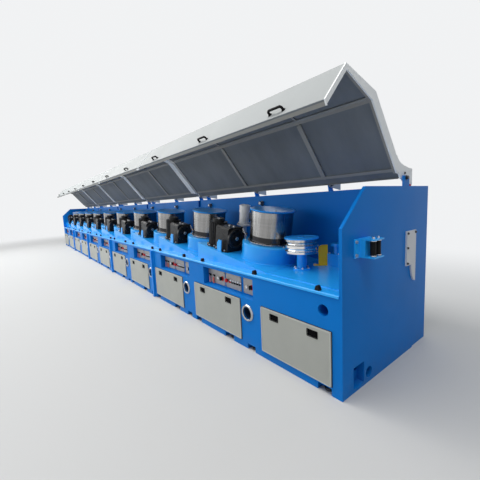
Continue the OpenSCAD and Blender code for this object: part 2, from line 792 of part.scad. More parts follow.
cylinder_to_sheave = 190;
cylinder_from_end = sheave_from_end - cylinder_to_sheave;
cylinder_set = 850;
cylinder_base = [150, 120, 140];
cylinder_stem_dia = 64;
cylinder_top_dia = 124;
cylinder_top_t = 26;
cylinder_h = 250;
module end_cylinder() {
    color("dodgerblue") translate([from_end(cylinder_from_end), behind(cylinder_set), deck_low_z + seat]) {
        translate([-cylinder_base[0] / 2, -cylinder_base[1] / 2, 0]) cube(cylinder_base);
        cylinder(d = cylinder_stem_dia, h = cylinder_h);
        translate([0, 0, cylinder_h - cylinder_top_t]) cylinder(d = cylinder_top_dia, h = cylinder_top_t);
    }
}

motor_run = 974;
motor_set = 600;
motor_foot_dia = 150;
motor_neck_dia = 84;
motor_neck_h = 288;
motor_flange_dia = 186;
motor_flange_t = 14;
motor_dia = 128;
motor_h = 170;
motor_cap_dia = 142;
motor_cap_h = 100;
module gear_motor() {
    color("silver") on_deck(1, motor_run, motor_set) {
        cylinder(d = motor_foot_dia, h = motor_flange_t);
        cylinder(d = motor_neck_dia, h = motor_neck_h);
        translate([0, 0, motor_neck_h]) {
            cylinder(d = motor_flange_dia, h = motor_flange_t);
            cylinder(d = motor_dia, h = motor_h + motor_flange_t);
            translate([0, 0, motor_h + motor_flange_t]) rotate_extrude()
                polygon([[0, -eps], [motor_cap_dia / 2, -eps], [motor_cap_dia / 2, motor_cap_h - rim],
                         [motor_cap_dia / 2 - rim, motor_cap_h], [0, motor_cap_h]]);
        }
    }
}

// Exit guide on the near end plate: a bolted flange, a block and two shelves that hold the rollers
exit_drop = 96;
exit_set = 160;
exit_l = 236;
exit_h = 152;
exit_t = 12;
exit_out = 136;
exit_block = [58, 96];
exit_shelf = 145;
module exit_bracket() {
    z0 = plate_front_h - exit_drop - exit_h;
    color("deepskyblue") translate([from_end(0), behind(exit_set), z0]) {
        cube([exit_t, exit_l, exit_h]);
        translate([0, exit_block[1] * 0.7, 0]) cube([exit_block[0], exit_block[1], exit_h]);
        for (z = [0, exit_h - exit_t]) translate([0, exit_block[1] * 0.7, z])
            cube([exit_out, exit_shelf, exit_t]);
    }
}

roller_dia = 44;
roller_out = 100;
roller_in = [108, 184];
module exit_rollers() {
    z0 = plate_front_h - exit_drop - exit_h + exit_t;
    color("black") for (y = roller_in)
        translate([from_end(0) + roller_out, behind(exit_set + y), z0])
            cylinder(d = roller_dia, h = exit_h - 2 * exit_t);
}

side_set = 1090;
side_w = 210;
side_h = 345;
side_z = 922;
side_t = 16;
side_tab_in = 100;
side_tab_h = 182;
module side_plate() {
    y1 = behind(side_set + side_w);
    color("silver") along_line(-side_t, 0)
        polygon(concat([[y1, side_z + side_h], [behind(side_set), side_z + side_h],
                        [behind(side_set), side_z], [y1 - side_tab_in, side_z]],
                       [for (a = [15:15:90]) [y1 - side_tab_in * cos(a), side_z - side_tab_h * sin(a)]]));
}

sensor_run = 990;
sensor_dia = 62;
sensor_tip_dia = 50;
sensor_l = 56;
sensor_in = 72;
module wall_sensors() {
    color("gray") for (s = [1:station_count])
        translate([from_end(station_edge(s) + sensor_run), behind(cabinet_set),
                   cabinet_h - sensor_in - sensor_dia / 2])
            rotate([90, 0, 0]) {
                cylinder(d = sensor_dia, h = sensor_l / 3);
                cylinder(d = sensor_tip_dia, h = sensor_l);
            }
}

for (b = [1:block_count]) block(b);
near_end_plate();
far_end_plate();
drum_decks();
deck_gussets();
drum_bosses();
for (s = [1:station_count]) drum(s);
for (s = [1:station_count]) drum_lid(s);
die_boxes();
front_rail();
rail_bumpers();
front_doors();
door_latches();
back_panels();
port_rings();
control_plates();
control_knobs();
hinge_brackets();
for (b = [1:block_count]) hood(b);
for (b = [1:block_count]) hood_handles(b);
sheave_column();
guide_sheave();
sheave_lid();
wire_guard();
end_cylinder();
gear_motor();
exit_bracket();
exit_rollers();
side_plate();
wall_sensors();
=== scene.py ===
"""Looks of a straight-line wire drawing machine, laid out as a Blender add-on and run as a script."""

import json
import math

import bmesh
import bpy
from mathutils import Matrix, Vector

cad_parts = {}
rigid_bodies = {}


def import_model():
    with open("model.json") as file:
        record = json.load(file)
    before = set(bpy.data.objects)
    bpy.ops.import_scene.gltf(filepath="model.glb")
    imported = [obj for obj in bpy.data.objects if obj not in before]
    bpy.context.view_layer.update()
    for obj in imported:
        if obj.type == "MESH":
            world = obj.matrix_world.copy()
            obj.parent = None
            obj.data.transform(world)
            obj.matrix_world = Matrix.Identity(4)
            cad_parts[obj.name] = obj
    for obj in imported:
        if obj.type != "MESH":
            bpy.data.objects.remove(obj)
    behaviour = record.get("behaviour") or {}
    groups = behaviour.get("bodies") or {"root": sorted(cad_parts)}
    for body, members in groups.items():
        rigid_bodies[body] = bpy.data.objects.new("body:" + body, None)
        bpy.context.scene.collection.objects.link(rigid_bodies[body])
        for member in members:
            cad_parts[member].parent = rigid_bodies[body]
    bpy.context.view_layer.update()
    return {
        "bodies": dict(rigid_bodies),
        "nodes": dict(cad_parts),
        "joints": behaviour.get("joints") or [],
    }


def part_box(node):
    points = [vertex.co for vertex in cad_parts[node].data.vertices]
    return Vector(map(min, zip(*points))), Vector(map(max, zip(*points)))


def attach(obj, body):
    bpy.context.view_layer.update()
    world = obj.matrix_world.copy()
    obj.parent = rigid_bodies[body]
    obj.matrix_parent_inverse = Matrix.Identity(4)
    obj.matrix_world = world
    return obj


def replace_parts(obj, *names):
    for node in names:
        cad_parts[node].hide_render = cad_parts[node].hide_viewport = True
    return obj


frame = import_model()

bl_info = {
    "name": "Wire Drawing Machine Looks",
    "version": (1, 0, 0),
    "blender": (4, 5, 0),
    "location": "View3D > Sidebar > Drawing Line",
    "description": "Finishes, fasteners, controls and fittings of a wire drawing machine",
    "category": "Object",
}

# Places taken from the frame, in metres
MAIN = "machine_frame"
X_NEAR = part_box("near_end_plate")[1].x
Y_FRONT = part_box("near_end_plate")[0].y
Y_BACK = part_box("near_end_plate")[1].y
SPINS = {j["child"]: j for j in frame["joints"]}
STATIONS = range(1, 1 + sum(name.startswith("drum_body_") for name in frame["bodies"]))
BLOCKS = range(1, 1 + sum(name.startswith("hood_body_") for name in frame["bodies"]))
DRUM_BASE = [Vector(SPINS[f"drum_body_{s}"]["pos_m"]) for s in STATIONS]
DRUM_AXIS = Vector(SPINS["drum_body_1"]["axis"]).normalized()
PITCH = DRUM_BASE[0].x - DRUM_BASE[1].x
ALONG_DECK = Vector((-DRUM_AXIS.z, 0, DRUM_AXIS.x))
DRUM_LIFT = 0.209  # the drum's foot over its deck, along its axis
DRUM_RUN = 0.3924  # the drum's axis from its station's near edge, level


def station_edge(s):
    """Distance from the near end to the near edge of station s."""
    return X_NEAR - DRUM_BASE[0].x - DRUM_RUN + DRUM_LIFT * DRUM_AXIS.x + (s - 1) * PITCH


END_BAY = station_edge(1)


def at(run, behind, height):
    """A point by its distance from the near end, behind the front wall and over the floor."""
    return Vector((X_NEAR - run, Y_FRONT + behind, height))


def over_deck(s, along, across, up):
    """A point by its place from station s's drum axis, along and across its tilted deck, and over it."""
    base = DRUM_BASE[s - 1] - DRUM_AXIS * DRUM_LIFT
    return base + ALONG_DECK * along + Vector((0, across, 0)) + DRUM_AXIS * up


def length(name, description, default, least, most):
    return bpy.props.FloatProperty(
        name=name, description=description, default=default, min=least, max=most, unit="LENGTH")


def paint(name, description, default):
    return bpy.props.FloatVectorProperty(
        name=name, description=description, default=default, min=0, max=1, subtype="COLOR")


class LineSizes(bpy.types.PropertyGroup):
    """Sizes of the fittings that are added to the line."""

    bolt_head: length("Bolt head", "Width across a bolt's head", 0.022, 0.010, 0.040)
    door_rim: length("Door rim", "Width of the folded rim round a door", 0.010, 0.004, 0.030)
    door_corner: length("Door corner", "Radius of a door's corners", 0.012, 0.004, 0.050)
    handle_bar: length("Handle bar", "Radius of a bow handle's bar", 0.011, 0.004, 0.014)
    fins: bpy.props.IntProperty(
        name="Motor fins", description="Number of cooling fins round a motor", default=9, min=4, max=16)


class LineColours(bpy.types.PropertyGroup):
    """Paints and finishes of the line."""

    machine_blue: paint("Machine blue", "Paint of the plinth and the cabinet", (0.004, 0.175, 0.580))
    deck_blue: paint("Deck blue", "Glossy paint of the decks", (0.020, 0.390, 0.930))
    lid_blue: paint("Lid blue", "Paint of the drum lids", (0.020, 0.350, 0.900))
    hood_outer: paint("Hood outside", "Paint of the hoods' outer face", (0.345, 0.362, 0.364))
    hood_inner: paint("Hood lining", "Lining of the hoods' inner face", (0.175, 0.192, 0.210))
    door_grey: paint("Door grey", "Paint of the doors", (0.370, 0.378, 0.345))
    guard_yellow: paint("Guard yellow", "Paint of the wire guard", (0.950, 0.520, 0.004))
    drum_steel: paint("Drum steel", "Turned steel of the drums", (0.340, 0.335, 0.330))
    signal_red: paint("Signal red", "Red of knobs, buttons and tags", (0.600, 0.012, 0.020))


def sizes():
    return bpy.context.scene.line_sizes


def colours():
    return bpy.context.scene.line_colours


# Building a material


def node(tree, kind, **settings):
    """A node of a material or of a geometry tree, with its settings set by name."""
    made = tree.nodes.new(kind)
    for key, value in settings.items():
        setattr(made, key, value)
    return made


def link(source, target):
    """Joins two sockets of one tree."""
    target.id_data.links.new(source, target)


def blank(name, colour, rough, metal=0.0, coat=0.0, coat_rough=0.1, specular=0.5):
    """A material with one shader whose plain values sit on its own sockets."""
    material = bpy.data.materials.new(name)
    material.use_nodes = True
    shader = material.node_tree.nodes["Principled BSDF"]
    shader.inputs["Base Color"].default_value = (*colour, 1)
    shader.inputs["Roughness"].default_value = rough
    shader.inputs["Metallic"].default_value = metal
    shader.inputs["Coat Weight"].default_value = coat
    shader.inputs["Coat Roughness"].default_value = coat_rough
    shader.inputs["Specular IOR Level"].default_value = specular
    material.diffuse_color = (*colour, 1)
    return material, material.node_tree, shader


def object_point(tree, turn=(0, 0, 0), origin=(0, 0, 0), scale=(1, 1, 1)):
    """The point on the piece in its own metres, moved to an origin, turned and scaled."""
    coordinates = node(tree, "ShaderNodeTexCoord")
    mapping = node(tree, "ShaderNodeMapping", vector_type="TEXTURE")
    mapping.inputs["Location"].default_value = origin
    mapping.inputs["Rotation"].default_value = turn
    mapping.inputs["Scale"].default_value = [1 / value for value in scale]
    link(coordinates.outputs["Object"], mapping.inputs["Vector"])
    return mapping.outputs["Vector"]


def noise(tree, point, scale, detail=3.0, rough=0.5):
    made = node(tree, "ShaderNodeTexNoise")
    made.inputs["Scale"].default_value = scale
    made.inputs["Detail"].default_value = detail
    made.inputs["Roughness"].default_value = rough
    link(point, made.inputs["Vector"])
    return made.outputs["Fac"]


def remap(tree, value, low, high, new_low=0.0, new_high=1.0, ease="LINEAR"):
    made = node(tree, "ShaderNodeMapRange", interpolation_type=ease)
    for name, number in (("From Min", low), ("From Max", high), ("To Min", new_low), ("To Max", new_high)):
        made.inputs[name].default_value = number
    link(value, made.inputs["Value"])
    return made.outputs["Result"]


def maths(tree, operation, a, b=None):
    made = node(tree, "ShaderNodeMath", operation=operation)
    for index, value in enumerate((a, b)):
        if value is None:
            continue
        if isinstance(value, (int, float)):
            made.inputs[index].default_value = value
        else:
            link(value, made.inputs[index])
    return made.outputs["Value"]


def times(tree, a, b):
    return maths(tree, "MULTIPLY", a, b)


def blend_colour(tree, factor, a, b):
    """Mixes two colours, each a colour or a socket."""
    made = node(tree, "ShaderNodeMix", data_type="RGBA")
    for index, value in ((6, a), (7, b)):
        if isinstance(value, (tuple, list)) or hasattr(value, "r"):
            made.inputs[index].default_value = (*tuple(value)[:3], 1)
        else:
            link(value, made.inputs[index])
    if isinstance(factor, (int, float)):
        made.inputs[0].default_value = factor
    else:
        link(factor, made.inputs[0])
    return made.outputs[2]


def bump(tree, shader, height, strength, distance, after=None):
    made = node(tree, "ShaderNodeBump")
    made.inputs["Strength"].default_value = strength
    made.inputs["Distance"].default_value = distance
    link(height, made.inputs["Height"])
    if after is not None:
        link(after, made.inputs["Normal"])
    link(made.outputs["Normal"], shader.inputs["Normal"])
    return made.outputs["Normal"]


def clouds(tree, point, scale, detail=3.0, rough=0.5, spread=0.2):
    """Noise stretched to run from nothing to one."""
    return remap(tree, noise(tree, point, scale, detail, rough), 0.5 - spread, 0.5 + spread)


def axis_part(tree, point, axis):
    split = node(tree, "ShaderNodeSeparateXYZ")
    link(point, split.inputs["Vector"])
    return split.outputs[axis]


def shade(colour, factor):
    """A colour made lighter or darker."""
    return tuple(min(1.0, part * factor) for part in tuple(colour)[:3])


def shades(tree, factor, colour, dark, light):
    """One colour between a darker and a lighter shade of it."""
    return blend_colour(tree, factor, shade(colour, dark), shade(colour, light))


def feed(shader, colour, rough):
    """Links what a finish makes to its shader."""
    link(colour, shader.inputs["Base Color"])
    link(rough, shader.inputs["Roughness"])


FOOT_DUST = (0.16, 0.155, 0.15)
DUST_TOP = 0.18  # how high dust gathers over the floor


def gloss_paint(name, colour, rough=0.34, coat=0.0, mottle=0.04, specular=0.28):
    """Sprayed gloss paint: cloudy colour, a fine orange peel, and dust that gathers near the floor."""
    material, tree, shader = blank(name, colour, rough, coat=coat, coat_rough=0.08, specular=specular)
    point = object_point(tree)
    painted = shades(tree, clouds(tree, point, 1.6, 4.0), colour, 1 - mottle, 1 + mottle)
    grime = times(tree, remap(tree, axis_part(tree, point, "Z"), DUST_TOP, 0.0),
                  remap(tree, noise(tree, point, 9.0, 6.0, 0.65), 0.42, 0.75))
    dusty = blend_colour(tree, times(tree, grime, 0.2), painted, FOOT_DUST)
    feed(shader, dusty, remap(tree, noise(tree, point, 3.0), 0.3, 0.8, rough * 0.92, rough * 1.15))
    bump(tree, shader, noise(tree, point, 210.0, 2.0), 0.02, 0.001)
    return material


def powder_paint(name, colour, rough=0.5):
    """Satin powder paint with a fine even grain and faint handling marks."""
    material, tree, shader = blank(name, colour, rough)
    point = object_point(tree)
    painted = shades(tree, clouds(tree, point, 2.3, 5.0, 0.6), colour, 0.95, 1.05)
    speck = clouds(tree, point, 420.0, 1.0, spread=0.15)
    flecked = blend_colour(tree, times(tree, speck, 0.10), painted, shade(colour, 0.72))
    smear = noise(tree, point, 7.0, 5.0, 0.65)
    feed(shader, flecked, remap(tree, smear, 0.3, 0.8, rough * 0.85, rough * 1.2))
    bump(tree, shader, noise(tree, point, 480.0, 2.0), 0.10, 0.0012)
    return material


def cast_iron(name, colour, rough):
    """Black paint over a sand-cast skin, with oil that makes it shine in patches."""
    material, tree, shader = blank(name, colour, rough, specular=0.24)
    point = object_point(tree)
    lumps = noise(tree, point, 22.0)
    feed(shader, shades(tree, remap(tree, lumps, 0.35, 0.7), colour, 0.7, 1.5),
         remap(tree, noise(tree, point, 14.0, 4.0), 0.35, 0.65, rough * 0.6, rough * 1.25))
    first = bump(tree, shader, lumps, 0.25, 0.004)
    bump(tree, shader, noise(tree, point, 130.0, 4.0, 0.6), 0.35, 0.0015, after=first)
    return material


FLANGE_HIGHLIGHT_TOP = 0.012  # top of the painted highlight on the flange at a drum's foot
DARK_BAND_TOP = 0.080  # top of the painted dark reflection band over it


def turned_steel(name, base, axis_turn, colour, band=DARK_BAND_TOP, rough=0.24):
    """Turned steel round an axis: fine tool rings, upright streaks of painted reflection, a painted dark
    reflection band at the foot and a painted highlight on the flange under it.
    """
    material, tree, shader = blank(name, colour, rough, metal=1.0)
    split = node(tree, "ShaderNodeSeparateXYZ")
    link(object_point(tree, turn=axis_turn, origin=base), split.inputs["Vector"])
    height = split.outputs["Z"]

    def stretched(across, up):
        joined = node(tree, "ShaderNodeCombineXYZ")
        for axis, share in (("X", across), ("Y", across), ("Z", up)):
            link(times(tree, split.outputs[axis], share), joined.inputs[axis])
        return joined.outputs["Vector"]
    wear = clouds(tree, stretched(0.02, 1.0), 26.0, 4.0, 0.6, spread=0.15)
    # painted reflections: upright light and dark streaks in the steel's colour
    streak = clouds(tree, stretched(1.0, 0.05), 17.0, 4.0, 0.65, spread=0.15)
    wear_and_reflection_tone = maths(tree, "ADD", times(tree, wear, 0.3), times(tree, streak, 0.7))
    wear_and_reflection_colour = shades(tree, wear_and_reflection_tone, colour, 0.66, 1.26)
    # painted dark reflection: the band over the foot is made far darker than the steel
    foot = remap(tree, height, band + 0.003, band - 0.003)
    painted_dark_band = blend_colour(tree, foot, wear_and_reflection_colour, (colour[0] * 0.13, colour[1] * 0.13, colour[2] * 0.14))
    # painted highlight: the flange at the foot is made lighter than the steel
    flange_highlight = remap(tree, height, FLANGE_HIGHLIGHT_TOP + 0.0005, FLANGE_HIGHLIGHT_TOP - 0.0005)
    feed(shader, blend_colour(tree, flange_highlight, painted_dark_band, shade(colour, 1.3)),
         remap(tree, streak, 0.0, 1.0, rough * 0.7, rough * 1.3))
    bump(tree, shader, noise(tree, stretched(0.004, 1.0), 500.0, 2.0), 0.03, 0.0004)
    return material


def plain_metal(name, colour, rough=0.3, grain=0.0, metal=1.0):
    """Machined or rolled metal with a fine brushed grain along X."""
    material, tree, shader = blank(name, colour, rough, metal=metal)
    streak = noise(tree, object_point(tree, scale=(0.04, 1.0, 1.0)), 260.0, 4.0, 0.6)
    feed(shader, shades(tree, clouds(tree, object_point(tree), 12.0), colour, 0.88, 1.08),
         remap(tree, streak, 0.3, 0.7, rough * 0.8, rough * 1.3))
    bump(tree, shader, streak, 0.05 + grain, 0.0008)
    return material


def moulded(name, colour, rough=0.5, grain=0.08, specular=0.25):
    """Moulded plastic or rubber with a fine leathery grain."""
    material, tree, shader = blank(name, colour, rough, specular=specular)
    point = object_point(tree)
    cells = noise(tree, point, 600.0, 2.0)
    feed(shader, shades(tree, clouds(tree, point, 30.0), colour, 0.8, 1.2),
         remap(tree, cells, 0.3, 0.7, rough * 0.9, rough * 1.15))
    bump(tree, shader, cells, grain, 0.0006)
    return material


HOOD_SKIN = 0.0035  # depth at which the outer paint gives way to the lining
RIB_FACE = 0.014  # depth past which the ribs and bands start
HOOD_EDGE_HIGHLIGHT = 0.049  # width of the white painted highlight at the first hood's near end
JOINT_EDGE_HIGHLIGHT = 0.0245  # width of the white painted highlight at the others' near ends
JOINT_BAND_HIGHLIGHT = 0.139  # width of the white band of painted highlight under a hood at its near end
RIB_GREY = (0.300, 0.298, 0.280)
HIGHLIGHT_WHITE = (0.86, 0.88, 0.88)


def hood_finish(name, outer, inner):
    """Light paint outside, a dark lining, ribs in warm grey, and white bands of painted highlight at the
    hoods' near ends.
    """
    material, tree, shader = blank(name, outer, 0.55, specular=0.12)
    point = object_point(tree)

    def depth(panel):
        """Distance of the point under a panel's outer face."""
        place = on_hood(0, panel, 0)
        dot = node(tree, "ShaderNodeVectorMath", operation="DOT_PRODUCT")
        link(point, dot.inputs[0])
        dot.inputs[1].default_value = place.col[2].xyz
        return maths(tree, "SUBTRACT", place.translation.dot(place.col[2].xyz), dot.outputs["Value"])
    under = maths(tree, "MINIMUM", maths(tree, "MINIMUM", depth("main"), depth("slope")), depth("strip"))
    run = maths(tree, "SUBTRACT", X_NEAR, axis_part(tree, point, "X"))
    past = maths(tree, "MODULO", maths(tree, "SUBTRACT", run, END_BAY), 2 * PITCH)
    after_first = maths(tree, "GREATER_THAN", run, END_BAY + PITCH)

    def near_joint(width):
        return times(tree, maths(tree, "LESS_THAN", past, width), after_first)
    out_paint = shades(tree, clouds(tree, point, 1.4, 4.0), outer, 0.95, 1.03)
    wiped = clouds(tree, object_point(tree, scale=(1.0, 0.35, 0.35)), 3.0, 5.0, 0.6)
    lining = shades(tree, wiped, inner, 0.85, 1.12)
    # painted highlight: ribs and band beside a joint turn white, the rest keep the warm rib grey
    rib_paint_and_joint_highlight = blend_colour(tree, near_joint(JOINT_BAND_HIGHLIGHT), RIB_GREY, HIGHLIGHT_WHITE)
    inside = blend_colour(tree, remap(tree, under, RIB_FACE - 0.0005, RIB_FACE + 0.0005), lining, rib_paint_and_joint_highlight)
    sheet = blend_colour(tree, remap(tree, under, HOOD_SKIN - 0.0005, HOOD_SKIN + 0.0005), out_paint, inside)
    # painted highlight: the hood turns white along its near-end edges
    edge = maths(tree, "MAXIMUM", maths(tree, "LESS_THAN", run, HOOD_EDGE_HIGHLIGHT), near_joint(JOINT_EDGE_HIGHLIGHT))
    link(blend_colour(tree, edge, sheet, HIGHLIGHT_WHITE), shader.inputs["Base Color"])
    bump(tree, shader, noise(tree, point, 300.0, 2.0), 0.03, 0.001)
    return material


FINISHES = {}


def make_finishes():
    """Every finish of the line by the name of its use."""
    c = colours()
    low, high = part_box("guide_sheave")
    FINISHES.update({
        "machine_blue": gloss_paint("machine_blue_paint", c.machine_blue, specular=0.06),
        # painted light: a lighter copy of the machine blue for the lit joint bars
        "joint_lit_blue": gloss_paint("joint_bar_painted_light", shade(c.machine_blue, 1.3), specular=0.2),
        "deck_blue": gloss_paint("deck_gloss_paint", c.deck_blue, rough=0.18, specular=0.45),
        "lid_blue": gloss_paint("lid_paint", c.lid_blue, rough=0.3, specular=0.3),
        "rail_blue": gloss_paint("ledge_paint", c.deck_blue, rough=0.22, specular=0.35),
        "hood": hood_finish("hood_sheet_paint", c.hood_outer, c.hood_inner),
        "door": powder_paint("door_powder_paint", c.door_grey),
        "back": powder_paint("back_panel_paint", shade(c.door_grey, 0.95)),
        "iron": cast_iron("die_box_cast_iron", (0.010, 0.010, 0.011), 0.42),
        "rubber": moulded("buffer_rubber", (0.010, 0.010, 0.012), 0.62, 0.2, 0.12),
        "black_plastic": moulded("black_moulding", (0.006, 0.006, 0.007), specular=0.10),
        "latch_black": moulded("latch_moulding", (0.003, 0.003, 0.004), 0.6, specular=0.03),
        "red_plastic": moulded("red_moulding", c.signal_red, 0.32),
        "white_plastic": moulded("white_moulding", (0.92, 0.91, 0.89), 0.35),
        "grey_plastic": moulded("sensor_moulding", (0.20, 0.20, 0.21), 0.42),
        "chrome": plain_metal("port_ring_chrome", (0.46, 0.48, 0.51), 0.16),
        "panel": plain_metal("control_plate_aluminium", (0.34, 0.325, 0.315), 0.45, grain=0.05, metal=0.4),
        "aluminium": plain_metal("motor_aluminium", (0.93, 0.94, 0.95), 0.40, grain=0.08, metal=0.0),
        "bright_steel": plain_metal("bolt_steel", (0.55, 0.55, 0.56), 0.28),
        "dark_steel": plain_metal("dark_bolt_steel", (0.07, 0.07, 0.075), 0.4),
        "yellow": gloss_paint("guard_yellow_paint", c.guard_yellow, rough=0.35, coat=0.2, mottle=0.08),
        "plate_grey": powder_paint("side_plate_paint", (0.60, 0.62, 0.65), 0.4),
        "sheave": turned_steel("sheave_steel", (low + high) / 2, (0, 0, 0), shade(c.drum_steel, 1.65),
                               band=-1.0, rough=0.2),
        # painted highlight: the door rim is a lighter copy of the door grey
        "door_rim": powder_paint("door_rim_painted_highlight", shade(c.door_grey, 1.25), 0.4),
        # painted highlight: white for the hoods' joint strips and edges
        "hood_highlight": powder_paint("hood_painted_highlight", HIGHLIGHT_WHITE, 0.4),
        "hood_rib": powder_paint("hood_rib_paint", RIB_GREY, 0.45),
        # painted shade: the dark of deep holes
        "hole_shade_dark": moulded("hole_painted_shade", (0.014, 0.035, 0.085), 0.5, specular=0.1),
        "tag_red": moulded("red_tag_film", (0.62, 0.10, 0.07), 0.4),
        "tag_pink": moulded("pink_tag_film", (0.50, 0.26, 0.36), 0.4),
        "brown_board": moulded("brown_board", (0.16, 0.075, 0.045), 0.6),
    })
    tilt = (0, math.atan2(DRUM_AXIS.x, DRUM_AXIS.z), 0)
    for s in STATIONS:
        FINISHES[f"drum_{s}"] = turned_steel(f"drum_steel_{s}", DRUM_BASE[s - 1], tilt, c.drum_steel)


NODE_FINISHES = {
    "near_end_plate": "machine_blue", "far_end_plate": "machine_blue", "hinge_brackets": "machine_blue",
    "drum_decks": "deck_blue", "deck_gussets": "deck_blue", "drum_bosses": "deck_blue",
    "sheave_column": "deck_blue", "end_cylinder": "deck_blue", "front_rail": "rail_blue",
    "exit_bracket": "rail_blue", "die_boxes": "iron", "rail_bumpers": "rubber", "front_doors": "door",
    "back_panels": "back", "door_latches": "latch_black", "port_rings": "chrome", "control_plates": "panel",
    "control_knobs": "black_plastic", "guide_sheave": "sheave", "sheave_lid": "lid_blue",
    "wire_guard": "yellow", "gear_motor": "aluminium", "exit_rollers": "black_plastic",
    "side_plate": "plate_grey", "wall_sensors": "grey_plastic",
}
KIN_FINISHES = {"block_": "machine_blue", "drum_lid_": "lid_blue", "hood_handles_": "black_plastic",
                "hood_": "hood"}


def finish_of(name):
    """The finish of a CAD node, by its own name or by the start that it shares with its kin."""
    kin = next((use for start, use in KIN_FINISHES.items() if name.startswith(start)), name)
    return FINISHES[NODE_FINISHES.get(name, kin)]


def paint_nodes():
    """Gives each CAD node its finish."""
    for name, piece in frame["nodes"].items():
        piece.data.materials.clear()
        piece.data.materials.append(finish_of(name))


# Making the mesh of a piece


def placed(origin, x_axis, y_axis):
    """A place with its own X and Y, and Z square to both."""
    x_axis, y_axis = Vector(x_axis).normalized(), Vector(y_axis).normalized()
    place = Matrix.Identity(4)
    place.col[0].xyz = x_axis
    place.col[1].xyz = y_axis
    place.col[2].xyz = x_axis.cross(y_axis)
    place.translation = origin
    return place


def on_front(run, height, behind=0.0):
    """A place that faces the operator, with Y up."""
    return placed(at(run, behind, height), (1, 0, 0), (0, 0, 1))


def on_end(behind, height, out=0.0):
    """A place that faces away from the near end, with Y up."""
    return placed(at(-out, behind, height), (0, 1, 0), (0, 0, 1))


def on_top(run, behind, height):
    """A place that faces up, with X along the line."""
    return placed(at(run, behind, height), (1, 0, 0), (0, 1, 0))


def on_deck(s, along, across, up=0.0):
    """A place on station s's tilted deck, counted from the drum's axis."""
    return placed(over_deck(s, along, across, up), -ALONG_DECK, (0, 1, 0))


SHARP = 35.0  # degrees past which an edge isn't smoothed


def on_circle(radius, i, count, start=0.0):
    """The i-th of a count of points on a circle."""
    angle = start + math.tau * i / count
    return radius * math.cos(angle), radius * math.sin(angle)


